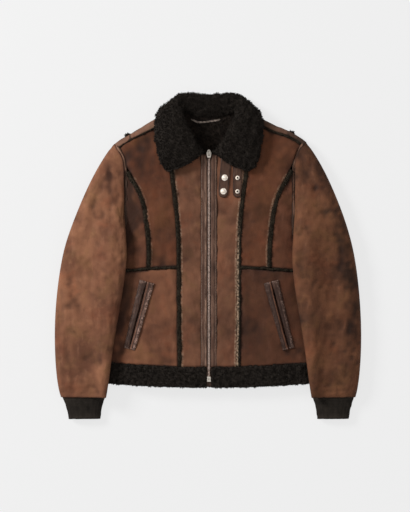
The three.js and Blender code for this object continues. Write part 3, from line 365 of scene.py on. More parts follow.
@dataclass(frozen=True)
class RibFinish:
    """Rib knit, charcoal, with the stitches of each rib."""

    name: str
    base: Colour
    light: Colour

    def make(self) -> bpy.types.Material:
        """Builds the material from rows of stitches and fuzz."""
        s = Shader(self.name)
        row = s.node("ShaderNodeTexWave", {"bands_direction": "Y", "wave_profile": "SIN"},
                     {"Vector": s.place(), "Scale": 85, "Distortion": 2.2, "Detail": 1, "Detail Scale": 3})
        fuzz = s.noise(500, 3, 0.7)
        soft = s.noise(30, 3, 0.6)
        rib = s.painted("rib")
        # Painted shade: the ribs' troughs and the cuff's inside are darker and the crests lighter, from the painted rib
        # height.
        colour = s.mix(rib * 0.8, tuple(v * 0.4 for v in self.base), self.base)
        colour = s.mix(row * rib * 0.25, colour, self.light)
        colour = s.mix(soft.above(0.5, 0.75) * 0.2, colour, self.light)
        knit = s.bump(row * 0.6 + fuzz * 0.4, 0.0006, 0.5)
        return s.dress(Base_Color=colour, Roughness=0.95, Normal=knit, Specular_IOR_Level=0.15)


@dataclass(frozen=True)
class TapeFinish:
    """Woven zip tape or sewing thread."""

    name: str
    base: Colour

    def make(self) -> bpy.types.Material:
        """Builds the material from a herringbone of waves."""
        s = Shader(self.name)
        settings = {"bands_direction": "DIAGONAL", "wave_profile": "SIN"}
        weave = s.node("ShaderNodeTexWave", settings, {"Vector": s.place(), "Scale": 420, "Distortion": 0.5})
        colour = s.mix(weave, tuple(v * 0.6 for v in self.base), self.base)
        return s.dress(Base_Color=colour, Roughness=0.85, Normal=s.bump(weave, 0.0002, 0.6), Specular_IOR_Level=0.25)


@dataclass(frozen=True)
class MetalFinish:
    """Plated metal with tarnish in its hollows."""

    name: str
    bright: Colour
    dull: Colour
    rough: float
    metallic: float = 1.0

    def make(self) -> bpy.types.Material:
        """Builds the material from tarnish, scratches and a fine bump."""
        s = Shader(self.name)
        tarnish = s.noise(220, 4, 0.65)
        scratch = s.noise(1, 2, 0.5, s.stretched((90, 1500, 400), 0.6))
        colour = s.mix(tarnish.above(0.42, 0.7), self.bright, self.dull)
        rough = self.rough + 0.22 * tarnish + 0.08 * scratch
        return s.dress(Base_Color=colour, Roughness=rough, Metallic=self.metallic, Normal=s.bump(scratch, 0.00006, 0.5))


@dataclass(frozen=True)
class FloorFinish:
    """Plain pale sheet, lit from behind like a light table, so that shadows on it stay faint."""

    name: str
    base: Colour
    glow: float

    def make(self) -> bpy.types.Material:
        """Builds the material with a steady glow.

        Returns:
            The material.
        """
        s = Shader(self.name)
        return s.dress(
            Base_Color=self.base, Roughness=1.0, Specular_IOR_Level=0.0,
            Emission_Color=(1.0, 1.0, 1.0), Emission_Strength=self.glow,
        )


class Look(Enum):
    """Every finish on the coat."""

    # SLEEVE_LIT and SLEEVE_SHADE are lit and shaded copies of one hide: the left sleeve's colours are lighter as
    # painted light, the right sleeve's darker as painted shade.
    SLEEVE_LIT = HideFinish("hide_sleeve_left", srgb(145, 98, 70), srgb(112, 72, 51), srgb(73, 42, 29), 0.0)
    SLEEVE_SHADE = HideFinish("hide_sleeve_right", srgb(124, 80, 53), srgb(90, 55, 36), srgb(50, 30, 20), 0.7)
    FRONT = HideFinish("hide_front", srgb(125, 83, 60), srgb(99, 64, 46), srgb(69, 42, 29), 1.3)
    MIDDLE = HideFinish("hide_middle", srgb(104, 61, 38), srgb(82, 47, 29), srgb(54, 30, 19), 2.1)
    SIDE = HideFinish("hide_side", srgb(110, 66, 45), srgb(90, 53, 35), srgb(63, 36, 23), 3.4)
    LOWER = HideFinish("hide_lower_left", srgb(130, 84, 59), srgb(101, 63, 44), srgb(68, 40, 28), 4.2)
    # LOWER_SHADE is a darker copy of the lower hide for the right lower panel: painted shade.
    LOWER_SHADE = HideFinish("hide_lower_right", srgb(92, 54, 35), srgb(74, 43, 27), srgb(52, 29, 19), 4.9)
    YOKE = HideFinish("hide_yoke_left", srgb(158, 122, 102), srgb(110, 78, 62), srgb(62, 44, 34), 5.1)
    # YOKE_SHADE is a darker copy of the yoke hide for the right yoke: painted shade.
    YOKE_SHADE = HideFinish("hide_yoke_right", srgb(112, 78, 62), srgb(76, 54, 42), srgb(46, 36, 28), 5.7)
    BACK = HideFinish("hide_back", srgb(120, 81, 59), srgb(99, 64, 47), srgb(75, 46, 32), 6.3)
    WOOL = WoolFinish("wool", srgb(35, 30, 26), srgb(43, 37, 32))
    SEAM_WOOL = WoolFinish("wool_seam", srgb(40, 34, 26), srgb(58, 49, 38))
    LINING = WoolFinish("wool_inside", srgb(32, 26, 22), srgb(45, 36, 30), 120)
    PLACKET = LeatherFinish("leather_placket", srgb(86, 59, 46), srgb(154, 120, 100), 0.5)
    WELT = LeatherFinish("leather_welt", srgb(64, 43, 34), srgb(116, 86, 72), 0.45)
    # WELT_SHADE is a darker copy of the welt leather for the right welts: painted shade.
    WELT_SHADE = LeatherFinish("leather_welt_right_shaded", srgb(60, 39, 30), srgb(86, 61, 49), 0.45)
    TAB = LeatherFinish("leather_tab", srgb(74, 50, 38), srgb(106, 77, 60), 0.5)
    RIB = RibFinish("rib_knit", srgb(40, 35, 30), srgb(66, 58, 51))
    TAPE = TapeFinish("zip_tape", srgb(84, 64, 54))
    THREAD = TapeFinish("thread", srgb(58, 40, 32))
    PALE_THREAD = TapeFinish("thread_pale", srgb(168, 146, 130))
    STEEL = MetalFinish("nickel", srgb(204, 196, 186), srgb(132, 122, 110), 0.26)
    CAP = MetalFinish("cap_metal", srgb(246, 234, 220), srgb(196, 182, 168), 0.4, 0.25)
    # Dark metal for the stud's hollow: painted shade.
    HOLLOW_SHADE = MetalFinish("hollow_metal_shaded", srgb(58, 48, 42), srgb(38, 32, 28), 0.6)
    LINKS = MetalFinish("chain_metal", srgb(214, 196, 184), srgb(160, 142, 130), 0.34, 0.8)
    CHAIN = MetalFinish("zip_metal", srgb(226, 203, 190), srgb(168, 146, 134), 0.36, 0.72)
    FLOOR = FloorFinish("floor", (0.12, 0.12, 0.12), 0.745)


class Wardrobe:
    """Makes each finish once and hands it out."""

    def __init__(self) -> None:
        """Starts empty."""
        self.made: dict[Look, bpy.types.Material] = {}

    def get(self, look: Look) -> bpy.types.Material:
        """Returns the material of a finish."""
        if look not in self.made:
            self.made[look] = look.value.make()
        return self.made[look]


WARDROBE = Wardrobe()


@dataclass(frozen=True)
class Cut:
    """The flat piece that a sheet was cut from, in metres."""

    width: float
    length: float
    area: float | None = None

    def declare(self, piece: bpy.types.Object, *parts: bpy.types.Object) -> None:
        """Takes a piece of this cut and the parts that are on it, and records nothing."""


@dataclass(frozen=True)
class Fold:
    """A soft ridge or trough that fades along and across."""

    x: float
    y: float
    turn: float
    along: float
    across: float
    rise: float

    def height(self, x: Points, y: Points) -> Points:
        """Height that the fold adds, in metres, at points in metres."""
        turn = math.radians(self.turn)
        dx, dy = x / MM - self.x, y / MM - self.y
        along = (dx * math.cos(turn) + dy * math.sin(turn)) / self.along
        across = (dy * math.cos(turn) - dx * math.sin(turn)) / self.across
        return self.rise * MM * np.exp(-(along**2) - across**2)


class Ripples:
    """A smooth random field: many waves of one size in all directions."""

    def __init__(self, size: float, seed: int, flat: bool = False, waves: int = 28) -> None:
        """Draws the waves.

        Args:
            size: the usual distance between crests, in metres.
            seed: the draw.
            flat: keeps the waves level, for plan points.
            waves: how many.
        """
        rng = np.random.default_rng(seed)
        ways = rng.normal(size=(waves, 3))
        if flat:
            ways[:, 2] = 0
        ways /= np.linalg.norm(ways, axis=1)[:, None]
        self.ways = ways * (2 * math.pi / size) * rng.uniform(0.6, 1.4, (waves, 1))
        self.phases = rng.uniform(0, 2 * math.pi, waves)

    def at(self, points: Points) -> Points:
        """The field, about -1 to 1."""
        total = np.sin(points @ self.ways.T + self.phases).sum(1)
        return total / math.sqrt(len(self.phases) * 0.75)


@dataclass
class Surface:
    """A refined mesh: its points, faces, and the object that holds it."""

    obj: bpy.types.Object

    @property
    def points(self) -> Points:
        """The points' places."""
        flat = np.empty(len(self.obj.data.vertices) * 3, np.float32)
        self.obj.data.vertices.foreach_get("co", flat)
        return flat.reshape(-1, 3).astype(float)

    @points.setter
    def points(self, places: Points) -> None:
        """Puts the points in new places."""
        self.obj.data.vertices.foreach_set("co", places.astype(np.float32).ravel())
        self.obj.data.update()

    @property
    def normals(self) -> Points:
        """The points' outward directions."""
        flat = np.empty(len(self.obj.data.vertices) * 3, np.float32)
        self.obj.data.vertex_normals.foreach_get("vector", flat)
        return flat.reshape(-1, 3).astype(float)

    def push(self, distance: Points) -> None:
        """Moves each point along its own direction."""
        self.points = self.points + self.normals * distance[:, None]

    def swell(self, distance: float) -> None:
        """Moves upright walls outwards, level, so that neighbouring pieces press on each other."""
        self.points = self.points + self.normals * [distance * 1.3, distance * 1.3, 0]

    def paint(self, name: str, values: Points) -> None:
        """Stores a number on each point."""
        layer = self.obj.data.attributes.new(name, "FLOAT", "POINT")
        layer.data.foreach_set("value", np.clip(values, 0, 1).astype(np.float32))

    def faces_where(self, test: Callable[[Points, Points], Points], look: Look) -> None:
        """Gives a finish to the faces whose centres and directions pass a test."""
        mesh = self.obj.data
        mesh.materials.append(WARDROBE.get(look))
        index = len(mesh.materials) - 1
        centres, ways = (np.empty(len(mesh.polygons) * 3, np.float32) for _ in range(2))
        mesh.polygons.foreach_get("center", centres)
        mesh.polygons.foreach_get("normal", ways)
        old = np.empty(len(mesh.polygons), np.int32)
        mesh.polygons.foreach_get("material_index", old)
        chosen = test(centres.reshape(-1, 3), ways.reshape(-1, 3))
        mesh.polygons.foreach_set("material_index", np.where(chosen, index, old).astype(np.int32))
        mesh.update()

    def edge_distance(self, sharp: float = 50.0) -> Points:
        """Distance of each point from the nearest sharp edge, up to 60 mm."""
        bm = bmesh.new()
        bm.from_mesh(self.obj.data)
        limit = math.radians(sharp)
        rim = {v.index for e in bm.edges if e.calc_face_angle(0) > limit for v in e.verts}
        places = self.points
        bm.free()
        if not rim:
            return np.full(len(places), 0.06)
        tree = KDTree(len(rim))
        for i, k in enumerate(sorted(rim)):
            tree.insert(places[k], i)
        tree.balance()
        return np.array([min(tree.find(p)[2], 0.06) for p in places])


def mesh_object(name: str, points: Points, faces: Sequence[Sequence[int]] | Points, look: Look) -> bpy.types.Object:
    """Makes a smooth-shaded object from points and faces of one size."""
    mesh = bpy.data.meshes.new(name)
    faces = np.asarray(faces, np.int32)
    count, size = faces.shape
    mesh.vertices.add(len(points))
    mesh.vertices.foreach_set("co", np.asarray(points, np.float32).ravel())
    mesh.loops.add(count * size)
    mesh.loops.foreach_set("vertex_index", faces.ravel())
    mesh.polygons.add(count)
    mesh.polygons.foreach_set("loop_start", np.arange(0, count * size, size, dtype=np.int32))
    mesh.update(calc_edges=True)
    mesh.polygons.foreach_set("use_smooth", np.ones(count, bool))
    mesh.materials.append(WARDROBE.get(look))
    made = bpy.data.objects.new(name, mesh)
    bpy.context.scene.collection.objects.link(made)
    return made


def refined(node: str, name: str, look: Look, levels: int = 3, crease: float = 50.0) -> Surface:
    """Copies a frame solid as smooth, fine quads that keep its sharp edges.

    Args:
        node: the solid.
        name: the new piece.
        look: its finish.
        levels: how often each face is halved.
        crease: edges that bend more than this many degrees stay sharp.

    Returns:
        The new surface, which replaces the solid.
    """
    bm = bmesh.new()
    bm.from_mesh(bpy.data.objects[node].data)
    bmesh.ops.remove_doubles(bm, verts=bm.verts, dist=2e-5)
    bmesh.ops.join_triangles(
        bm, faces=bm.faces, angle_face_threshold=math.radians(38), angle_shape_threshold=math.radians(75)
    )
    layer = bm.edges.layers.float.get("crease_edge") or bm.edges.layers.float.new("crease_edge")
    corner = bm.verts.layers.float.get("crease_vert") or bm.verts.layers.float.new("crease_vert")
    for edge in bm.edges:
        if edge.calc_face_angle(0) > math.radians(crease):
            edge[layer] = 1.0
    for vert in bm.verts:
        if sum(edge[layer] > 0 for edge in vert.link_edges) > 2:
            vert[corner] = 1.0
    mesh = bpy.data.meshes.new(name)
    bm.to_mesh(mesh)
    bm.free()
    cage = bpy.data.objects.new(name, mesh)
    bpy.context.scene.collection.objects.link(cage)
    modifier = cage.modifiers.new("fine", "SUBSURF")
    modifier.levels = modifier.render_levels = levels
    fine = bpy.data.meshes.new_from_object(cage.evaluated_get(bpy.context.evaluated_depsgraph_get()))
    cage.modifiers.clear()
    cage.data = fine
    bpy.data.meshes.remove(mesh)
    fine.name = name
    fine.materials.clear()
    fine.materials.append(WARDROBE.get(look))
    fine.polygons.foreach_set("use_smooth", np.ones(len(fine.polygons), bool))
    surface = Surface(cage)
    settle(cage, SLOTS[look], node)
    return surface


SLOTS = {
    **{look: "hide" for look in (Look.SLEEVE_LIT, Look.SLEEVE_SHADE, Look.FRONT, Look.MIDDLE, Look.SIDE)},
    **{look: "hide" for look in (Look.LOWER, Look.LOWER_SHADE, Look.YOKE, Look.YOKE_SHADE, Look.BACK, Look.THREAD)},
    Look.PALE_THREAD: "hide",
    **{look: "wool" for look in (Look.WOOL, Look.SEAM_WOOL, Look.LINING)},
    **{look: "leather" for look in (Look.PLACKET, Look.WELT, Look.WELT_SHADE, Look.TAB)},
    Look.RIB: "rib",
    Look.TAPE: "tape",
    **{look: "steel" for look in (Look.STEEL, Look.CAP, Look.HOLLOW_SHADE, Look.LINKS, Look.CHAIN)},
}


def settle(piece: bpy.types.Object, slot: str, *nodes: str, body: str = "coat") -> None:
    """Puts a piece on its body and hides the solids that it stands for."""
    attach(piece, body)
    if nodes:
        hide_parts(*nodes)
    LOG.info("%s: %d points", piece.name, len(piece.data.vertices))


@dataclass
class Pile:
    """Short curled locks of wool that stand on a surface."""

    length: float = 0.0052
    width: float = 0.0011
    curl: float = 0.0016
    spacing: float = 0.0027
    seed: int = 1

    def roots(self, surface: Surface, where: Callable[[Points, Points], Points]) -> tuple[Points, Points]:
        """Picks places and directions for the locks, spread by area over the faces that pass a test."""
        mesh = surface.obj.data
        mesh.calc_loop_triangles()
        corners = np.empty(len(mesh.loop_triangles) * 3, np.int32)
        mesh.loop_triangles.foreach_get("vertices", corners)
        a, b, c = (surface.points[corners.reshape(-1, 3)[:, k]] for k in range(3))
        across = np.cross(b - a, c - a)
        area = np.linalg.norm(across, axis=1) / 2
        ways = across / np.maximum(2 * area, 1e-12)[:, None]
        area = np.where(where((a + b + c) / 3, ways), area, 0)
        rng = np.random.default_rng(self.seed)
        count = int(area.sum() / self.spacing**2)
        chosen = np.searchsorted(np.cumsum(area), rng.uniform(0, area.sum(), count))
        chosen = np.minimum(chosen, len(area) - 1)
        u, v = rng.uniform(size=(2, count, 1))
        fold = (u + v) > 1
        u, v = np.where(fold, 1 - u, u), np.where(fold, 1 - v, v)
        return a[chosen] + u * (b - a)[chosen] + v * (c - a)[chosen], ways[chosen]

    def grow(self, name: str, roots: Points, ways: Points, look: Look, floor: float = 0.0004) -> bpy.types.Object:
        """Makes one joined mesh of locks.

        Args:
            name: the new object.
            roots: where the locks start.
            ways: the directions in which they stand.
            look: their finish.
            floor: no point goes lower than this.

        Returns:
            The object.
        """
        RINGS, ROUND = 3, 3
        rng = np.random.default_rng(self.seed + 100)
        count = len(roots)
        lean = ways + rng.normal(scale=0.38, size=(count, 3))
        lean /= np.linalg.norm(lean, axis=1)[:, None]
        helper = np.where(np.abs(lean[:, :1]) < 0.8, [[1.0, 0, 0]], [[0, 1.0, 0]])
        side = np.cross(lean, helper)
        side /= np.linalg.norm(side, axis=1)[:, None]
        other = np.cross(lean, side)
        long = self.length * rng.uniform(0.65, 1.25, (count, 1))
        start, sweep = rng.uniform(0, 2 * math.pi, count), rng.uniform(2.2, 4.4, count) * rng.choice([-1, 1], count)
        spine = []
        for k in range(RINGS + 1):
            t = k / RINGS
            angle = start + sweep * t
            swing = self.curl * min(1.0, 2.2 * t)
            bend = side * np.cos(angle)[:, None] + other * np.sin(angle)[:, None]
            offset = bend - (side * np.cos(start)[:, None] + other * np.sin(start)[:, None]) * (1 - t)
            spine.append(roots - lean * self.length * 0.12 + lean * long * math.sin(1.45 * t) + offset * swing)
        thick = [1.0, 0.95, 0.6, 0.0]
        verts = []
        for k in range(RINGS):
            for j in range(ROUND):
                turn = 2 * math.pi * j / ROUND
                verts.append(spine[k] + (side * math.cos(turn) + other * math.sin(turn)) * self.width * thick[k])
        verts.append(spine[RINGS])
        per = len(verts)
        points = np.stack(verts, 1).reshape(-1, 3)
        points[:, 2] = np.maximum(points[:, 2], floor)
        faces = []
        for k in range(RINGS - 1):
            for j in range(ROUND):
                a, b = k * ROUND + j, k * ROUND + (j + 1) % ROUND
                faces += [(a, b, b + ROUND), (a, b + ROUND, a + ROUND)]
        top = (RINGS - 1) * ROUND
        faces += [(top + j, top + (j + 1) % ROUND, per - 1) for j in range(ROUND)]
        every = (np.array(faces)[None] + np.arange(count)[:, None, None] * per).reshape(-1, 3)
        return mesh_object(name, points, every, look)


@dataclass
class FrontShape:
    """Height of the front's hide, as in the coat's frame."""

    height: float = 0.038
    under_sleeve: float = 0.028
    at_shoulder: float = 0.031
    at_hem: float = 0.035
    folds: tuple[Fold, ...] = (
        Fold(-48, -60, 88, 150, 13, 1.6),
        Fold(47, 20, 92, 170, 14, 1.5),
        Fold(-115, 95, 70, 70, 16, 2.2),
        Fold(118, 110, 112, 75, 15, 1.8),
        Fold(-112, -140, 100, 70, 20, 1.7),
        Fold(125, -160, 72, 80, 18, -1.6),
        Fold(-165, 235, 150, 45, 12, -1.4),
        Fold(160, 232, 35, 45, 13, 1.5),
    )

    def at(self, x: Points, y: Points) -> Points:
        """Height in metres at plan points in metres."""
        x, y = np.asarray(x, float), np.asarray(y, float)
        side = ease(0.150, 0.222, np.abs(x))
        shoulder, hem = ease(0.215, 0.305, y), ease(-0.150, -0.315, y)
        crown = self.height - (self.height - self.at_shoulder) * shoulder - (self.height - self.at_hem) * hem
        folds = sum(fold.height(x, y) for fold in self.folds)
        return crown + (self.under_sleeve - crown) * side + folds * (1 - side)


FRONT_SHAPE = FrontShape()


@dataclass
class Sewing:
    """Runs of stitches that lie on a surface."""

    length: float = 0.0026
    gap: float = 0.0012
    radius: float = 0.00036
    runs: list[tuple[Points, Points]] = field(default_factory=list)

    def along(self, route: Points, up: Points | None = None) -> None:
        """Adds stitches along a route of points."""
        route = np.asarray(route, float)
        steps = np.linalg.norm(np.diff(route, axis=0), axis=1)
        reach = np.concatenate([[0], np.cumsum(steps)])
        starts = np.arange(0, reach[-1] - self.length, self.length + self.gap)
        ends = [np.stack([np.interp(s, reach, route[:, k]) for k in range(3)], 1) for s in (starts, starts + self.length)]
        self.runs.append((ends[0], ends[1]))

    def on_front(self, route: Points, lift: float = 0.0) -> None:
        """Adds stitches along a plan route on the front's hide."""
        route = np.asarray(route, float)
        fine = np.concatenate([np.linspace(a, b, 12, endpoint=False) for a, b in zip(route, route[1:])] + [route[-1:]])
        self.along(np.column_stack([lie(fine), FRONT_SHAPE.at(fine[:, 0], fine[:, 1]) + lift]))

    def make(self, name: str, look: Look) -> bpy.types.Object:
        """Makes every stitch as a short six-sided bead with tapered ends."""
        RINGS = ((0.0, 0.25), (0.22, 1.0), (0.78, 1.0), (1.0, 0.25))
        ROUND = 5
        starts, ends = (np.concatenate([run[k] for run in self.runs]) for k in range(2))
        way = ends - starts
        way /= np.linalg.norm(way, axis=1)[:, None]
        side = np.cross(way, [0, 0, 1.0])
        side /= np.maximum(np.linalg.norm(side, axis=1), 1e-9)[:, None]
        up = np.cross(side, way)
        verts = []
        for share, thick in RINGS:
            for j in range(ROUND):
                turn = 2 * math.pi * j / ROUND
                ring = (side * math.cos(turn) + up * math.sin(turn)) * self.radius * thick
                verts.append(starts + (ends - starts) * share + ring)
        points = np.stack(verts, 1).reshape(-1, 3)
        faces = []
        for k in range(len(RINGS) - 1):
            for j in range(ROUND):
                a, b = k * ROUND + j, k * ROUND + (j + 1) % ROUND
                faces += [(a, b, b + ROUND), (a, b + ROUND, a + ROUND)]
        last = (len(RINGS) - 1) * ROUND
        faces += [(0, j + 1, j) for j in range(1, ROUND - 1)]
        faces += [(last, last + j, last + j + 1) for j in range(1, ROUND - 1)]
        per = len(RINGS) * ROUND
        every = (np.array(faces)[None] + np.arange(len(starts))[:, None, None] * per).reshape(-1, 3)
        made = mesh_object(name, points, every, look)
        settle(made, SLOTS[look])
        return made


def inside_below(_: Points, ways: Points) -> Points:
    """Faces of the front that look down: its wool side."""
    return ways[:, 2] < -0.35


def inside_above(_: Points, ways: Points) -> Points:
    """Faces of the back that look up: its wool side."""
    return ways[:, 2] > 0.35


def seam_offset(node: str, places: Points) -> tuple[Points, Points]:
    """How far points are, in plan, from the middle line of a seam that runs up the coat.

    Args:
        node: the seam's solid.
        places: the points.

    Returns:
        The offsets to the right of the line and beyond its ends, in metres.
    """
    flat = np.empty(len(bpy.data.objects[node].data.vertices) * 3, np.float32)
    bpy.data.objects[node].data.vertices.foreach_get("co", flat)
    x, y = flat.reshape(-1, 3)[:, 0].astype(float), flat.reshape(-1, 3)[:, 1].astype(float)
    line = np.polynomial.Polynomial.fit(y, x, 6)
    level = np.clip(places[:, 1], y.min(), y.max())
    across = (places[:, 0] - line(level)) / np.sqrt(1 + line.deriv()(level) ** 2)
    return across, places[:, 1] - level


ARMHOLE = ((226.5, 269), (217.5, 256), (206.5, 237), (201, 206), (200, 160), (200, 104))


def armhole_line(word: str) -> Points:
    """The armhole's middle line in the frame, close-set points from the shoulder down."""
    rows = np.array(ARMHOLE) * MM * [SIDES[word], 1]
    fine = [np.linspace(a, b, 20, endpoint=False) for a, b in zip(rows, rows[1:])]
    return lie(np.concatenate([*fine, rows[-1:]]))


def drawn_out(places: Points, word: str, start: float, reach: float) -> Points:
    """Draws the outer end of a shoulder piece out, down the shoulder's slope.

    Args:
        places: the piece's points.
        word: its side.
        start: how far from the middle it begins to be drawn.
        reach: how far its end moves.

    Returns:
        The new places.
    """
    share = ease(start, start + 0.034, np.abs(places[:, 0] - ORIGIN[0]))[:, None]
    return places + share * reach * np.array([SIDES[word] * 0.84, -0.54, -0.05])


YOKE_DROP = {"left": 0.0048, "right": 0.0012}


def above_shoulder(word: str, places: Points) -> Points:
    """How far points lie above the shoulder seam's middle line, along y.

    Args:
        word: the side.
        places: the points.

    Returns:
        The heights, in metres.
    """
    wool = bpy.data.objects[f"shoulder_wool_{word}"].data.vertices
    rows = np.empty(3 * len(wool))
    wool.foreach_get("co", rows)
    line = np.polyfit(rows[0::3], rows[1::3], 3)
    return places[:, 1] - np.polyval(line, places[:, 0])


@dataclass
class Panel:
    """One hide panel of the body: where it is cut, how it puckers, how worn it is and where shade is painted on it."""

    node: str
    look: Look
    seed: int
    levels: int = 3
    pucker: float = 0.0006
    roll: float = 0.0006
    rims: tuple[tuple[str, float], ...] = ()
    shades: tuple[Fold, ...] = ()

    def fitted(self, places: Points) -> Points:
        """Stretches the yoke's outer end and the armhole seam's lower end over their neighbours."""
        word = self.node.rsplit("_", 1)[1]
        if self.node.startswith("yoke"):
            lower = ease(0.018, 0.009, above_shoulder(word, places))
            places = places - np.array([0, YOKE_DROP[word], 0]) * lower[:, None]
            return drawn_out(places, word, 0.196, 0.0060 if word == "left" else 0.0085)
        if self.node.startswith("armhole"):
            aside = np.abs(places[:, 0] - ORIGIN[0])
            low = aside[places[:, 1] < 0.115]
            flare = 0.019 * np.clip((aside - low.min()) / (low.max() - low.min()), 0, 1)
            move = np.column_stack([SIDES[word] * flare, np.full(len(places), -0.058), 0 * flare])
            return places + move * ease(0.134, 0.104, places[:, 1])[:, None]
        return places

    def shade(self, places: Points) -> Points:
        """Painted shade and light of the piece: its folds of painted shadow and light, the armhole seam lighter on its
        ridge with its lower half darkened as painted shadow between sleeve and side panel, and a dark band across the
        yoke 190 mm from the middle.
        """
        tone = sum((fold.height(places[:, 0], places[:, 1]) / MM for fold in self.shades), 0 * places[:, 0])
        word = self.node.rsplit("_", 1)[1]
        if self.node.startswith("armhole"):
            line = armhole_line(word)
            away = np.min(np.hypot(*(places[:, k, None] - line[None, :, k] for k in range(2))), axis=1)
            ridge = np.exp(-((away / 0.0013) ** 2))
            low = ease(0.214, 0.196, places[:, 1]) if word == "left" else ease(0.102, 0.092, places[:, 1])
            # Painted shadow: the armhole seam's lower part is darkened where the sleeve shades it; its upper part is
            # lighter on the ridge.
            tone += (0.5 * ridge - 0.2) * (1 - low) - 0.8 * low
        if self.node.startswith("yoke"):
            tone -= 0.6 * np.exp(-(((np.abs(places[:, 0] - ORIGIN[0]) - 0.190) / 0.0022) ** 2))
        return tone

    def build(self) -> Surface:
        """Refines the solid, softens and wrinkles it, and paints its tone, which holds painted shade at its edges and
        in its folds, and its rubbed rims.

        Returns:
            The panel's surface.
        """
        surface = refined(self.node, f"{self.node}_hide", self.look, self.levels)
        edge = surface.edge_distance()
        surface.points = self.fitted(surface.points)
        surface.swell(0.0009)
        places, ways = surface.points, surface.normals
        outer = ways[:, 2] > 0.3
        soft = Ripples(0.075, self.seed).at(places)
        small = Ripples(0.024, self.seed + 7).at(places)
        tiny = Ripples(0.009, self.seed + 13).at(places)
        near = np.exp(-((edge / 0.016) ** 2))
        lift = 0.0007 * soft + 0.0002 * small + self.pucker * near * small + 0.00008 * tiny
        lift -= self.roll * np.exp(-edge / 0.002)
        rim = np.zeros(len(places))
        for node, strength in self.rims:
            rim = np.maximum(rim, strength * ease(0.0100, 0.0084, np.hypot(*seam_offset(node, places))))
        surface.push(np.where(outer, lift + 0.0006 * rim, 0.3 * lift))
        # Painted shade: the hide is darkened within a few millimetres of its sharp edges, along the seams.
        tone = 0.5 + 0.08 * small + 0.1 * soft - 0.45 * np.exp(-edge / 0.0014)
        surface.paint("tone", tone + 0.1 * rim + np.where(outer, self.shade(places), 0))
        surface.paint("rim", np.where(outer, rim, 0))
        return surface


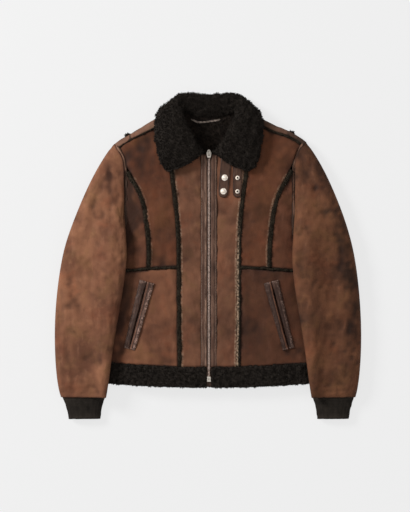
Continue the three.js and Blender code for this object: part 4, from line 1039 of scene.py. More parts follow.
@dataclass
class Body:
    """The coat's body: front and back panels, yokes, wool seams and hem bands."""

    panels: tuple[tuple[str, Look, Cut], ...] = (
        ("front_centre", Look.FRONT, Cut(0.075, 0.594, 0.0345)),
        ("front_middle", Look.MIDDLE, Cut(0.113, 0.337, 0.0278)),
        ("front_side", Look.SIDE, Cut(0.096, 0.226, 0.0133)),
        ("front_lower", Look.LOWER, Cut(0.185, 0.233, 0.0415)),
        ("armhole_seam", Look.YOKE, Cut(0.0193, 0.160, 0.0030)),
        ("yoke", Look.YOKE, Cut(0.023, 0.160, 0.0036)),
    )
    ribbons: tuple[tuple[str, Cut], ...] = (
        ("princess_wool", Cut(0.014, 0.594)),
        ("panel_wool", Cut(0.014, 0.215)),
        ("waist_wool", Cut(0.014, 0.178)),
        ("shoulder_wool", Cut(0.014, 0.147)),
    )

    rims: dict[str, tuple[tuple[str, float], ...]] = field(
        default_factory=lambda: {
            "front_centre_left": (("princess_wool_left", 0.5),),
            "front_centre_right": (("princess_wool_right", 0.85),),
            "front_middle_right": (("panel_wool_right", 0.5),),
            "front_middle_left": (("panel_wool_left", 0.28),),
        }
    )

    # Folds of painted shadow and painted light in single panels' tone: the sleeves' shadows beside the armholes and
    # down the lower panels, and darker and lighter patches by the shoulders and the right pocket.
    shades: dict[str, tuple[Fold, ...]] = field(
        default_factory=lambda: {
            "front_side_left": (Fold(-195, 150, 88, 95, 14, -0.7), Fold(-188, 62, 78, 70, 25, -0.6)),
            "front_side_right": (Fold(207, 60, 90, 60, 9, -0.4), Fold(186, 186, 60, 24, 16, -0.3)),
            "front_lower_left": (Fold(-210, -148, 82.5, 140, 18, -0.46), Fold(-140, -230, 0, 60, 14, -0.12)),
            "front_lower_right": (Fold(216, -120, 97, 110, 22, 0.14), Fold(90, -150, 100, 60, 18, -0.2)),
            "front_middle_left": (Fold(-168, 238, 20, 55, 34, -0.34), Fold(-120, 215, 100, 60, 16, -0.16)),
            "front_middle_right": (Fold(150, 232, 60, 60, 34, 0.36),),
        }
    )
    own_looks: dict[str, Look] = field(
        default_factory=lambda: {"front_lower_right": Look.LOWER_SHADE, "yoke_right": Look.YOKE_SHADE}
    )

    def build(self) -> None:
        """Builds every panel, seam and band."""
        seed = 10
        for node, look, cut in self.panels:
            for word in SIDES:
                seed += 1
                name = f"{node}_{word}"
                shade = self.own_looks.get(name, look)
                levels = 2 if node in ("armhole_seam", "yoke") else 3
                made = Panel(name, shade, seed, levels, rims=self.rims.get(name, ()), shades=self.shades.get(name, ())).build()
                made.faces_where(inside_below, Look.LINING)
                cut.declare(made.obj)
        self.build_back()
        for node, cut in self.ribbons:
            for word in SIDES:
                seed += 1
                self.build_ribbon(f"{node}_{word}", cut, seed)
        for word in SIDES:
            self.build_tuft(f"shoulder_tuft_{word}", seed + SIDES[word])
        self.build_hem()

    def build_back(self) -> None:
        """Builds the back panel and the wool that shows at the neck."""
        surface = refined("back", "back_hide", Look.BACK, 2)
        places = surface.points
        neck = ease(0.078, 0.066, np.abs(places[:, 0] - ORIGIN[0])) * ease(0.300, 0.326, places[:, 1])
        places[:, 1] += (0.007 + 0.007 * np.exp(-(((np.abs(places[:, 0]) - 0.056) / 0.012) ** 2))) * neck
        surface.points = places
        edge = surface.edge_distance()
        above = surface.normals[:, 2] > 0.2
        surface.push(np.where(above, 0.0008 * Ripples(0.03, 3).at(places), 0))
        # Painted shade: the back is darkened near its sharp edges.
        surface.paint("tone", 0.5 + 0.2 * Ripples(0.09, 4).at(places) - 0.3 * np.exp(-edge / 0.003))
        surface.faces_where(
            lambda centres, out: inside_above(centres, out) | ((centres[:, 1] > 0.3) & (np.abs(centres[:, 0]) < 0.08)),
            Look.LINING,
        )
        Cut(0.494, 0.616, 0.275).declare(surface.obj)
        pile = Pile(length=0.0055, spacing=0.0036, seed=5)

        def at_neck(centres: Points, ways: Points) -> Points:
            """The stretch that shows through the neck."""
            return (np.abs(centres[:, 0]) < 0.075) & (centres[:, 1] > 0.235) & (ways[:, 2] > 0.5)

        locks = pile.grow("neck_locks", *pile.roots(surface, at_neck), Look.LINING)
        settle(locks, "wool")

    def build_ribbon(self, node: str, cut: Cut, seed: int) -> None:
        """Builds one raised wool seam, uneven along its edges, with its locks."""
        surface = refined(node, f"{node}_seam", Look.SEAM_WOOL, 2)
        word = node.rsplit("_", 1)[1]
        if node.startswith("shoulder"):
            upper = ease(-0.003, 0.006, above_shoulder(word, surface.points))
            pressed = surface.points - np.array([0, YOKE_DROP[word], 0]) * upper[:, None]
            surface.points = drawn_out(pressed, word, 0.192, 0.004)
        if node.startswith("panel"):
            top = ease(0.150, 0.182, surface.points[:, 1])[:, None]
            surface.points = surface.points + top * 0.023 * np.array([SIDES[word] * 0.53, 0.85, 0])
        places, ways = surface.points, surface.normals
        above = ways[:, 2] > -0.2
        bare = self.worn_edge(node, places)
        surface.paint("rim", bare)
        lump = 0.0007 * Ripples(0.011, seed).at(places) + 0.0004 * Ripples(0.005, seed + 3).at(places)
        surface.push(np.where(above, lump, 0))
        length = 0.0013 if node.startswith(("waist", "shoulder")) else 0.0026
        pile = Pile(length=length, width=0.0008, curl=0.4 * length, spacing=0.0022, seed=seed)

        def shows(centres: Points, out: Points) -> Points:
            """The top, but for its worn edge."""
            return (out[:, 2] > 0.35) & (self.worn_edge(node, centres) < 0.5)

        roots, out = pile.roots(surface, shows)
        locks = pile.grow(f"{node}_locks", roots, out, Look.SEAM_WOOL)
        settle(locks, "wool")
        cut.declare(surface.obj, locks)

    @staticmethod
    def worn_edge(node: str, places: Points) -> Points:
        """Where the right princess seam's wool is rubbed down to tan, along the zip's side."""
        if node != "princess_wool_right":
            return np.zeros(len(places))
        return ease(0.0012, -0.0006, seam_offset(node, places)[0]) * ease(0.1, 0.0, places[:, 1])

    def build_tuft(self, node: str, seed: int) -> None:
        """Builds the stub of seam wool on the shoulder's edge."""
        surface = refined(node, f"{node}_stub", Look.WOOL, 1)
        places = surface.points
        middle = places.mean(0)
        surface.points = middle + (places - middle) * [1.5, 1.3, 1.2] + [0, -0.0022, 0]
        pile = Pile(length=0.003, width=0.0008, curl=0.001, spacing=0.0016, seed=seed)
        locks = pile.grow(f"{node}_locks", *pile.roots(surface, lambda centres, ways: ways[:, 2] > -0.6), Look.WOOL)
        settle(locks, "wool")

    def build_hem(self) -> None:
        """Builds the three wool bands of the hem."""
        for node, cut in (
            ("hem_front_left", Cut(0.062, 0.245)), ("hem_front_right", Cut(0.062, 0.245)), ("hem_back", Cut(0.061, 0.494)),
        ):
            seed = len(node) * 3
            back = node == "hem_back"
            surface = refined(node, f"{node}_band", Look.WOOL, 3 if not back else 2)
            places, ways = surface.points, surface.normals
            free = ways[:, 2] > -0.3
            lump = 0.0012 * Ripples(0.013, seed).at(places) + 0.0007 * Ripples(0.006, seed + 3).at(places)
            surface.push(np.where(free & (places[:, 2] > 0.002), lump - 0.0022 * ease(0.2, 0.7, -ways[:, 1]), 0))
            pile = Pile(length=0.0032, width=0.001, curl=0.0013, spacing=0.0029, seed=seed)

            def shows(centres: Points, out: Points, back: bool = back) -> Points:
                """The outside of a front band, and the hem's edge of either."""
                edge = (out[:, 1] < -0.4) & (centres[:, 2] > 0.004)
                return edge | (out[:, 2] > 0.25) if not back else edge | ((out[:, 2] > 0.5) & (centres[:, 1] < -0.295))

            locks = pile.grow(f"{node}_locks", *pile.roots(surface, shows), Look.WOOL)
            settle(locks, "wool")
            cut.declare(surface.obj, locks)


@dataclass
class Sleeves:
    """Two sleeves, each of a top and an under sleeve, and their rib cuffs."""

    half_cut: Cut = Cut(0.165, 0.617, 0.086)
    cuff_cut: Cut = Cut(0.200, 0.053)
    creases: dict[str, tuple[Fold, ...]] = field(
        default_factory=lambda: {
            "left": (
                Fold(-262, 150, 64, 60, 5.5, -1.5),
                Fold(-285, 118, 72, 70, 6, 1.1),
                Fold(-236, 92, 78, 45, 5, -1.3),
                Fold(-312, 30, 80, 60, 6, -1.0),
                Fold(-250, 2, 30, 40, 5, -1.2),
                Fold(-290, -42, 12, 50, 6, -1.3),
                Fold(-320, -118, 8, 34, 5, -1.1),
                Fold(-268, -150, -14, 36, 5, -1.2),
                Fold(-305, -215, 10, 42, 6, -1.1),
                Fold(-330, -268, -6, 28, 5, 0.9),
                Fold(-280, -316, 3, 34, 4.5, -0.9),
            ),
            "right": (
                Fold(262, 156, 116, 60, 6, -1.4),
                Fold(286, 96, 104, 60, 6, 1.1),
                Fold(238, 66, 100, 50, 5, -1.3),
                Fold(318, 22, 98, 50, 6, -1.0),
                Fold(256, -26, 150, 40, 5, -1.2),
                Fold(300, -70, 166, 46, 6, -1.3),
                Fold(332, -150, 172, 30, 5, -1.0),
                Fold(272, -176, 12, 36, 5, -1.2),
                Fold(306, -240, 172, 42, 6, -1.1),
                Fold(286, -312, 178, 36, 4.5, -0.9),
            ),
        }
    )

    # Folds of painted shade and painted light in the top sleeves' tone: the right sleeve's outer half darkened as if
    # turned from the light, a dark band beside the left armhole, and lighter patches.
    shades: dict[str, tuple[Fold, ...]] = field(
        default_factory=lambda: {
            "left": (
                Fold(-238, 190, 96, 60, 9, -0.26),
                Fold(-268, 125, 74, 45, 14, -0.14),
                Fold(-300, -30, 60, 40, 18, 0.10),
                Fold(-255, -230, 85, 70, 14, -0.10),
            ),
            "right": (
                Fold(292, 140, 112, 90, 18, -0.24),
                Fold(330, -10, 98, 110, 22, -0.30),
                Fold(340, -190, 88, 120, 22, -0.26),
                Fold(222, 190, 100, 50, 14, -0.12),
                Fold(250, 110, 105, 60, 18, 0.14),
                Fold(262, -20, 100, 60, 22, 0.10),
            ),
        }
    )

    def build(self) -> None:
        """Builds both sleeves and both cuffs."""
        for word in SIDES:
            look = Look.SLEEVE_LIT if word == "left" else Look.SLEEVE_SHADE
            for half in ("top", "under"):
                self.build_half(f"sleeve_{half}_{word}", half == "top", word, look)
            self.build_cuff(f"cuff_{word}")

    def build_half(self, node: str, top: bool, word: str, look: Look) -> None:
        """Builds the top or under half of a sleeve, creased and painted."""
        surface = refined(node, f"{node}_hide", look, 3 if top else 2)
        edge = surface.edge_distance()
        surface.points = self.tucked(surface.points, word)
        surface.swell(0.0006)
        places, ways = surface.points, surface.normals
        outer = self.outer(places, ways, top)
        seed = len(node) + (3 if word == "left" else 40)
        soft, small = Ripples(0.06, seed).at(places), Ripples(0.02, seed + 5).at(places)
        tiny = Ripples(0.008, seed + 9).at(places)
        still = ease(0.0, 0.012, edge)
        crease = sum(fold.height(places[:, 0], places[:, 1]) for fold in self.creases[word]) if top else 0 * soft
        level = ease(0.1, 0.6, np.abs(ways[:, 2]))
        lift = (0.0011 * soft + 0.0006 * small + 0.0002 * tiny + 0.7 * crease) * level * still
        lift -= 0.0005 * np.exp(-edge / 0.002)
        free = ease(0.001, 0.008, places[:, 2]) if not top else 1.0
        surface.push(np.where(outer, lift, 0) * free)
        shade = sum(fold.height(places[:, 0], places[:, 1]) for fold in self.shades[word]) / MM if top else 0 * soft
        # Painted shade and highlight: lighter on the creases' ridges and darker in their troughs, darker near the
        # edges, plus the sleeve's folds of painted shade and light.
        tone = 0.5 + 0.08 * small + 0.1 * soft + crease / MM * 0.05 + shade - 0.35 * np.exp(-edge / 0.0016)
        surface.paint("tone", tone)
        surface.faces_where(lambda centres, out: ~self.outer(centres, out, top), Look.LINING)
        self.half_cut.declare(surface.obj)

    @staticmethod
    def tucked(places: Points, word: str) -> Points:
        """Draws a sleeve's end to the armhole seam, so that it tucks under it.

        Args:
            places: the sleeve's points.
            word: its side.

        Returns:
            The new places.
        """
        line = armhole_line(word)
        apart = places[:, None, :2] - line[None]
        far = np.hypot(apart[..., 0], apart[..., 1])
        nearest = far.argmin(1)
        away = far.min(1)
        way = -apart[np.arange(len(places)), nearest] / np.maximum(away, 1e-6)[:, None]
        pull = 0.0052 * ease(0.034, 0.006, away) * ease(0.160, 0.235, places[:, 1])
        pull = np.minimum(pull, away)
        return places + np.column_stack([way * pull[:, None], 0 * away])

    @staticmethod
    def outer(places: Points, ways: Points, top: bool) -> Points:
        """Whether faces look away from the sleeve's middle line.

        Args:
            places: where they are.
            ways: where they look.
            top: for the top half, whose outside looks up.

        Returns:
            True for the hide side.
        """
        up = ways[:, 2] if top else -ways[:, 2]
        order = np.argsort(places[:, 1])
        x = np.abs(places[:, 0])
        bins = np.linspace(places[:, 1].min(), places[:, 1].max(), 40)
        which = np.clip(np.digitize(places[:, 1], bins) - 1, 0, len(bins) - 1)
        low, high = np.full(len(bins), np.inf), np.full(len(bins), -np.inf)
        np.minimum.at(low, which[order], x[order])
        np.maximum.at(high, which[order], x[order])
        middle, half = (low + high)[which] / 2, np.maximum((high - low)[which] / 2, 1e-6)
        sideways = ways[:, 0] * np.sign(places[:, 0]) * (x - middle) / half
        return up + sideways * 1.1 > 0.0

    def build_cuff(self, node: str) -> None:
        """Builds a rib cuff, its ribs painted light on their crests."""
        surface = refined(node, f"{node}_rib", Look.RIB, 2)
        places, ways = surface.points, surface.normals
        low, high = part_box(node)
        centre = np.array([(low.x + high.x) / 2, (low.z + high.z) / 2])
        outward = (places[:, 0] - centre[0]) * ways[:, 0] / 0.045 + (places[:, 2] - centre[1]) * ways[:, 2] / 0.012
        outer = outward > 0
        surface.push(np.where(outer & (places[:, 2] > 0.002), 0.0004 * Ripples(0.018, 8).at(places), 0))
        surface.paint("rib", self.rib_height(surface, outer))
        self.cuff_cut.declare(surface.obj)

    @staticmethod
    def rib_height(surface: Surface, outer: Points) -> Points:
        """How high each point is on its rib, from the bend of the surface round it."""
        mesh = surface.obj.data
        places, ways = surface.points, surface.normals
        pairs = np.empty(len(mesh.edges) * 2, np.int32)
        mesh.edges.foreach_get("vertices", pairs)
        a, b = pairs.reshape(-1, 2).T
        bend = np.zeros(len(places))
        count = np.zeros(len(places))
        for one, two in ((a, b), (b, a)):
            np.add.at(bend, one, ((places[one] - places[two]) * ways[one]).sum(1))
            np.add.at(count, one, 1)
        for _ in range(3):
            total = np.zeros(len(places))
            for one, two in ((a, b), (b, a)):
                np.add.at(total, one, bend[two])
            bend = 0.5 * bend + 0.5 * total / np.maximum(count, 1)
        scale = np.percentile(np.abs(bend[outer]), 80) or 1
        return np.where(outer, np.clip(0.5 + 0.5 * bend / scale, 0, 1), 0.3)


@dataclass
class Collar:
    """The folded wool collar and the chain that the coat hangs by."""

    links: int = 21
    route: tuple[tuple[float, float], ...] = (
        (-41, 328.5), (-34, 325), (-27, 321.5), (-14, 322), (0, 323.5), (14, 325.5), (26, 328),
    )
    route_height: float = 0.0102

    def build(self) -> None:
        """Builds both halves and the chain."""
        for word in SIDES:
            self.build_half(f"collar_{word}", 60 + SIDES[word])
        self.build_chain()

    def build_half(self, node: str, seed: int) -> None:
        """Builds half the collar, lumpy with curls, and its locks."""
        surface = refined(node, f"{node}_wool", Look.WOOL, 2, crease=75)
        places = surface.points
        centre = ease(0.0005, 0.006, np.abs(places[:, 0] - ORIGIN[0]))
        places[:, 0] -= np.sign(places[:, 0] - ORIGIN[0]) * 0.0010 * (1 - centre)
        surface.points = places
        lump = 0.0012 * Ripples(0.018, seed).at(places) + 0.0007 * Ripples(0.008, seed + 3).at(places) - 0.0012
        surface.push(np.where(places[:, 2] > 0.002, lump * centre, 0))
        pile = Pile(length=0.0042, width=0.0011, curl=0.0015, spacing=0.0027, seed=seed)

        def shows(centres: Points, ways: Points) -> Points:
            """All but the underside."""
            return (ways[:, 2] > -0.45) & (centres[:, 2] > 0.005)

        locks = pile.grow(f"{node}_locks", *pile.roots(surface, shows), Look.WOOL)
        settle(locks, "wool")

    def build_chain(self) -> None:
        """Builds the hanger chain as flat oval links, each turned from the last."""
        ALONG, ROUND = 12, 6
        route = np.array([(x * MM + ORIGIN[0], y * MM + ORIGIN[1], self.route_height) for x, y in self.route])
        reach = np.concatenate([[0], np.cumsum(np.linalg.norm(np.diff(route, axis=0), axis=1))])
        at = np.linspace(0.0015, reach[-1] - 0.0015, self.links)
        places = np.stack([np.interp(at, reach, route[:, k]) for k in range(3)], 1)
        points, faces = [], []
        for i, place in enumerate(places):
            way = places[min(i + 1, self.links - 1)] - places[max(i - 1, 0)]
            way /= np.linalg.norm(way)
            flat = np.cross([0, 0, 1.0], way)
            turn = math.radians(35 if i % 2 else -50)
            across = flat * math.cos(turn) + np.array([0, 0, 1.0]) * math.sin(turn)
            third = np.cross(way, across)
            for j in range(ALONG):
                a = 2 * math.pi * j / ALONG
                middle = way * 0.0024 * math.cos(a) + across * 0.0019 * math.sin(a)
                out = middle / np.linalg.norm(middle)
                for k in range(ROUND):
                    b = 2 * math.pi * k / ROUND
                    points.append(place + middle + (out * math.cos(b) + third * math.sin(b)) * 0.0005)
                    base, nxt = i * ALONG * ROUND, (j + 1) % ALONG
                    k2 = (k + 1) % ROUND
                    corners = (j * ROUND + k, nxt * ROUND + k, nxt * ROUND + k2, j * ROUND + k2)
                    faces.append([base + c for c in corners])
        made = mesh_object("hanger_links", np.array(points), faces, Look.LINKS)
        settle(made, "steel", "hanger_chain")


@dataclass
class Zip:
    """Leather plackets, tapes, teeth, slider, pull and box of the front zip."""

    inner: float = 0.0066
    outer: float = 0.019
    drop: float = 0.0011
    teeth_pitch: float = 0.0021
    bottom: float = -0.2894
    top: float = 0.2346
    tooth: tuple[float, float, float] = (0.0031, 0.0012, 0.0026)
    overlap: float = 0.0024
    ridge: float = 0.0094

    def build(self) -> None:
        """Builds every piece of the zip."""
        for word in SIDES:
            surface = refined(f"placket_{word}", f"placket_{word}_leather", Look.PLACKET, 3)
            edge = surface.edge_distance()
            places = surface.points
            away = np.abs(places[:, 0] - ORIGIN[0])
            cover = ease(0.014, 0.0066, away) * ease(0.236, 0.226, places[:, 1]) * ease(-0.31, -0.3, places[:, 1])
            ridge = np.exp(-(((away - self.ridge) / 0.0014) ** 2))
            places[:, 0] -= SIDES[word] * self.overlap * cover
            surface.points = places
            top = surface.normals[:, 2] > 0.4
            lift = 0.00025 * Ripples(0.02, 90).at(places) - 0.0005 * np.exp(-edge / 0.0012) + 0.0006 * ridge
            surface.push(np.where(top, lift, 0))
            hollow = np.exp(-(((away - self.ridge - 0.0036) / 0.0018) ** 2))
            # Painted shade and highlight: darker at the edges and in the hollow beside the ridge, with a painted
            # highlight along the ridge that is stronger on the left placket.
            tone = 0.47 + 0.08 * Ripples(0.05, 91).at(places) - 0.3 * np.exp(-edge / 0.0009)
            glint = 0.75 + 0.25 * Ripples(0.03, 92).at(places)
            surface.paint("tone", tone + (0.48 if word == "left" else 0.16) * ridge * glint - 0.16 * hollow)
            Cut(0.018, 0.512).declare(surface.obj)
            tape = refined(f"zip_tape_{word}", f"zip_tape_{word}_weave", Look.TAPE, 2)
            Cut(0.010, 0.563, 0.0045).declare(tape.obj)
        self.build_teeth()
        for node in ("zip_slider", "zip_pull", "zip_box"):
            self.build_metal(node, "pull" if node == "zip_pull" else "coat")

    def build_teeth(self) -> None:
        """Builds both rows of teeth, each tooth a small rounded block that meets the other row."""
        count = int((self.top - self.bottom) / self.teeth_pitch)
        long, wide, high = self.tooth
        block = np.array([
            (x, y, z)
            for z, shrink in ((0.0, 1.0), (0.7, 1.0), (1.0, 0.62))
            for x, y in ((0, -0.5), (0.78, -0.5), (1, 0), (0.78, 0.5), (0, 0.5))
            for x, y in (((x - 0.5) * shrink + 0.5, y * shrink),)
        ])
        faces = []
        for k in range(2):
            for j in range(5):
                a, b = k * 5 + j, k * 5 + (j + 1) % 5
                faces += [(a, b, b + 5), (a, b + 5, a + 5)]
        faces += [(10, 10 + j, 11 + j) for j in range(1, 4)] + [(0, j + 1, j) for j in range(1, 4)]
        points, every = [], []
        for side in (-1, 1):
            for i in range(count):
                y = self.bottom + (i + (0.5 if side > 0 else 0.0)) * self.teeth_pitch + 0.0006
                z = float(FRONT_SHAPE.at(0.0, y)) - self.drop
                tooth = np.column_stack([
                    ORIGIN[0] + side * (0.0026 - block[:, 0] * long), y + block[:, 1] * wide, z + block[:, 2] * high,
                ])
                base = len(points) * len(block)
                points.append(tooth)
                every += [(base + a, base + (b if side < 0 else c), base + (c if side < 0 else b)) for a, b, c in faces]
        made = mesh_object("zip_teeth", np.concatenate(points), every, Look.CHAIN)
        made.data.polygons.foreach_set("use_smooth", np.zeros(len(made.data.polygons), bool))
        settle(made, "steel", "zip_chain")

    @staticmethod
    def build_metal(node: str, body: str) -> None:
        """Rounds the edges of a small metal solid."""
        bm = bmesh.new()
        bm.from_mesh(bpy.data.objects[node].data)
        bmesh.ops.remove_doubles(bm, verts=bm.verts, dist=2e-5)
        bmesh.ops.dissolve_limit(bm, angle_limit=math.radians(4), verts=bm.verts, edges=bm.edges)
        edges = [e for e in bm.edges if e.calc_face_angle(0) > math.radians(35)]
        bmesh.ops.bevel(bm, geom=edges, offset=0.00028, segments=2, affect="EDGES", profile=0.6, clamp_overlap=True)
        bmesh.ops.triangulate(bm, faces=bm.faces)
        mesh = bpy.data.meshes.new(f"{node}_metal")
        bm.to_mesh(mesh)
        bm.free()
        mesh.materials.append(WARDROBE.get(Look.STEEL))
        made = bpy.data.objects.new(f"{node}_metal", mesh)
        bpy.context.scene.collection.objects.link(made)
        settle(made, "steel", node, body=body)


@dataclass
class Pockets:
    """Slanted welt pockets: two leather welts with a slit between, tacked at both ends."""

    top: tuple[float, float] = (0.149, -0.062)
    bottom: tuple[float, float] = (0.1915, -0.224)
    rise: float = 0.0036
    gape: float = 0.0009
    rub: dict[tuple[str, str], float] = field(
        default_factory=lambda: {
            ("left", "side"): 0.16, ("left", "front"): 1.0, ("right", "front"): 0.2, ("right", "side"): 0.9,
        }
    )

    def build(self) -> None:
        """Builds four welts."""
        seed = 120
        for word in SIDES:
            for node in (f"welt_side_{word}", f"welt_front_{word}"):
                seed += 1
                surface = refined(node, f"{node}_leather", Look.WELT if word == "left" else Look.WELT_SHADE, 3)
                edge, places = surface.edge_distance(), surface.points
                outer = surface.normals[:, 2] > 0
                wave = Ripples(0.017, seed).at(places)
                lift = 0.0003 * wave + 0.0005 * Ripples(0.045, seed).at(places) - 0.0006 * np.exp(-edge / 0.0015)
                top, bottom = (lie(np.array([p]) * [SIDES[word], 1])[0] for p in (self.top, self.bottom))
                way = (bottom - top) / np.linalg.norm(bottom - top)
                side = (places[:, :2] - top) @ np.array([-way[1], way[0]])
                share = (places[:, :2] - top) @ way / np.linalg.norm(bottom - top)
                agape = self.gape * ease(0.04, 0.3, share) * ease(0.97, 0.7, share) * ease(0.007, 0.003, np.abs(side))
                places[:, :2] += (np.sign(side) * agape)[:, None] * np.array([-way[1], way[0]])
                surface.points = places
                surface.push(np.where(outer, lift, 0))
                reach = np.where(np.abs(side) > 0.004, np.abs(side) - 0.0152 + 0.0036 * share, -0.01)
                outline = ease(-0.0056, -0.0030, reach) * (0.7 + 0.3 * wave)
                ends = np.maximum(ease(0.04, 0.02, share), ease(0.97, 0.985, share)) * 0.5
                strong = self.rub[(word, "side" if "side" in node else "front")]
                piping = np.exp(-(((np.abs(side) - 0.0036) / 0.0016) ** 2)) if "front" in node else 0 * side
                groove = np.exp(-(((np.abs(side) - 0.0072) / 0.0012) ** 2))
                # Painted shade: the welt is darker near its edges; it is also darker along a line 7.2 mm from the slit.
                tone = 0.5 + 0.1 * Ripples(0.03, seed + 2).at(places) - 0.35 * np.exp(-edge / 0.001) - 0.25 * groove
                surface.paint("tone", tone)
                surface.paint("rim", np.where(outer, np.maximum(outline * strong, ends), 0))
                surface.paint("warm", np.where(outer, 0.75 * piping, 0))
                Cut(0.0185, 0.168).declare(surface.obj)

    def routes(self) -> Iterable[tuple[Points, float]]:
        """The stitch lines of both pockets, as plan routes with their lift."""
        top, bottom = np.array(self.top), np.array(self.bottom)
        way = (bottom - top) / np.linalg.norm(bottom - top)
        across = np.array([-way[1], way[0]])
        for side in SIDES.values():
            for first, last in ((15.2, 11.4), (19.6, 15.8), (3.6, 3.6), (-16.2, -11.8), (-3.6, -3.6)):
                line = np.array([top + way * 0.003 + across * first * MM, bottom - way * 0.003 + across * last * MM])
                yield line * [side, 1], self.rise
            for point in (top + way * 0.004, bottom - way * 0.004):
                line = np.array([point - across * 0.013, point + across * 0.012])
                yield line * [side, 1], self.rise


@dataclass
class Latch:
    """The throat latch: two leather tabs with two snap caps and two studs."""

    cap_rows: tuple[tuple[float, float], ...] = (
        (0, 0), (7.5, 0), (7.5, 0.7), (7.1, 1.2), (6.6, 1.35), (6.2, 1.1), (5.6, 1.25), (4.2, 2.2), (2.2, 2.9), (0, 3.15),
    )
    stud_rows: tuple[tuple[float, float], ...] = (
        (0, 0), (5.2, 0), (5.2, 0.7), (4.8, 1.15), (4.1, 1.2), (3.6, 0.8), (3.3, 0.85), (3.1, 2.3), (3.3, 3.0),
        (2.9, 3.4), (2.1, 3.3), (1.8, 0.8), (0, 0.6),
    )

    def build(self) -> None:
        """Builds tabs and snaps."""
        for node, seed, cut in (
            ("latch_tab_cap", 140, Cut(0.0265, 0.0975)), ("latch_tab_stud", 141, Cut(0.0225, 0.089)),
        ):
            surface = refined(node, f"{node}_leather", Look.TAB, 3)
            edge, places = surface.edge_distance(), surface.points
            outer = surface.normals[:, 2] > 0
            surface.push(np.where(outer, 0.0004 * Ripples(0.02, seed).at(places) - 0.0006 * np.exp(-edge / 0.0013), 0))
            # Painted shade: the tab is darker near its edges.
            surface.paint("tone", 0.5 + 0.12 * Ripples(0.025, seed).at(places) - 0.4 * np.exp(-edge / 0.0012))
            cut.declare(surface.obj)
        for place in ("upper", "lower"):
            self.turn(f"snap_cap_{place}", self.cap_rows, Look.CAP)
            self.turn(f"snap_stud_{place}", self.stud_rows, Look.CAP)

    def turn(self, node: str, rows: tuple[tuple[float, float], ...], look: Look) -> None:
        """Turns a profile of radius and height, in millimetres, on a snap's axis."""
        ROUND = 40
        low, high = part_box(node)
        x, y = (low.x + high.x) / 2, (low.y + high.y) / 2
        points, faces = [], []
        for radius, height in rows:
            for k in range(ROUND):
                a = 2 * math.pi * k / ROUND
                points.append((x + radius * MM * math.cos(a), y + radius * MM * math.sin(a), low.z + height * MM))
        for i in range(len(rows) - 1):
            for k in range(ROUND):
                k2 = (k + 1) % ROUND
                faces.append((i * ROUND + k, i * ROUND + k2, (i + 1) * ROUND + k2, (i + 1) * ROUND + k))
        made = mesh_object(f"{node}_metal", np.array(points), faces, look)
        bm = bmesh.new()
        bm.from_mesh(made.data)
        bmesh.ops.remove_doubles(bm, verts=bm.verts, dist=1e-6)
        bmesh.ops.recalc_face_normals(bm, faces=bm.faces)
        bm.to_mesh(made.data)
        bm.free()
        hollow = 2.0 * MM if "stud" in node else 0.0

        def sunk(centres: Points, _: Points) -> Points:
            """Faces inside the stud's hollow."""
            return (np.hypot(centres[:, 0] - x, centres[:, 1] - y) < hollow) & (centres[:, 2] > low.z + 0.2 * MM)

        # The faces inside the stud's hollow get a dark metal as painted shade.
        Surface(made).faces_where(sunk, Look.HOLLOW_SHADE)
        settle(made, "steel", node)


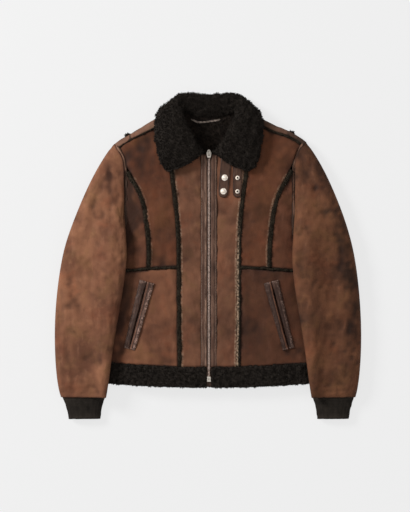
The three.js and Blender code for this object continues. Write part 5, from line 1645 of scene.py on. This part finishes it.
def sew(pockets: Pockets) -> None:
    """Sews the visible rows of stitches, dark and pale.

    Args:
        pockets: the pockets, which know their own stitch lines.
    """
    dark, pale = Sewing(), Sewing(length=0.0022, gap=0.0014, radius=0.0004)
    levels = np.linspace(-0.262, 0.236, 12)
    pale.on_front([(-0.0176, y) for y in levels], 0.0012)
    pale.on_front([(-0.0094, y) for y in levels], 0.0019)
    dark.on_front([(-0.0078, y) for y in levels], 0.0012)
    dark.on_front([(0.0124, y) for y in levels], 0.0014)
    pale.on_front([(0.0168, y) for y in levels], 0.0011)
    for route, lift in pockets.routes():
        dark.on_front(route, lift)
    for line, half in ((((42, 234), (33.5, 141)), (10.6, 9.4)), (((68.5, 226), (68, 141)), (8.3, 8.1))):
        top, bottom = (np.array(p) * MM for p in line)
        way = (bottom - top) / np.linalg.norm(bottom - top)
        across = np.array([-way[1], way[0]])
        end = bottom - way * half[1] * MM
        arc = [end + (across * math.cos(a) + way * math.sin(a)) * half[1] * MM for a in np.linspace(0, math.pi, 9)]
        route = [top + across * half[0] * MM, *arc, top - across * half[0] * MM]
        dark.on_front(route, 0.0034)
    dark.make("topstitching", Look.THREAD)
    pale.make("pale_stitching", Look.PALE_THREAD)


@dataclass
class Studio:
    """Pale floor, soft light from the upper left, and a camera straight above."""

    distance: float = 5.0
    frame_width: float = 0.9905
    centre: tuple[float, float] = (-0.0072, -0.0006)
    sensor: float = 36.0

    def build(self) -> None:
        """Makes the camera, the floor and the lights."""
        scene = bpy.context.scene
        data = bpy.data.cameras.new("camera")
        data.sensor_fit, data.sensor_width = "HORIZONTAL", self.sensor
        data.lens = self.sensor * self.distance / self.frame_width
        camera = bpy.data.objects.new("camera", data)
        camera.location = (*self.centre, self.distance)
        scene.collection.objects.link(camera)
        scene.camera = camera
        floor = mesh_object(
            "floor", np.array([(-6, -6, 0), (6, -6, 0), (6, 6, 0), (-6, 6, 0)], float), [(0, 1, 2, 3)], Look.FLOOR
        )
        floor.location.z = -0.0002
        self.light("key", (-3.6, 2.0, 2.7), 1.5, 250)
        self.light("fill", (2.2, -1.6, 3.0), 2.6, 16)
        self.light("top", (0.0, 0.3, 3.4), 3.0, 22)
        world = bpy.data.worlds.new("studio")
        world.use_nodes = True
        world.node_tree.nodes["Background"].inputs["Color"].default_value = (1, 1, 1, 1)
        world.node_tree.nodes["Background"].inputs["Strength"].default_value = 0.26
        scene.world = world
        scene.view_settings.view_transform = "Standard"
        scene.view_settings.exposure = 0.0

    @staticmethod
    def light(name: str, place: tuple[float, float, float], size: float, power: float) -> None:
        """Hangs a soft square light that faces the coat."""
        data = bpy.data.lights.new(name, "AREA")
        data.size, data.energy = size, power
        lamp = bpy.data.objects.new(name, data)
        lamp.location = place
        lamp.rotation_euler = (Vector((0, 0, 0)) - Vector(place)).to_track_quat("-Z", "Y").to_euler()
        bpy.context.scene.collection.objects.link(lamp)


def main() -> None:
    """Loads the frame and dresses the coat."""
    logging.basicConfig(level=logging.INFO, format="%(name)s %(message)s")
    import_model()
    Studio().build()
    Body().build()
    Sleeves().build()
    Collar().build()
    Zip().build()
    pockets = Pockets()
    pockets.build()
    Latch().build()
    sew(pockets)


if __name__ == "__main__":
    main()
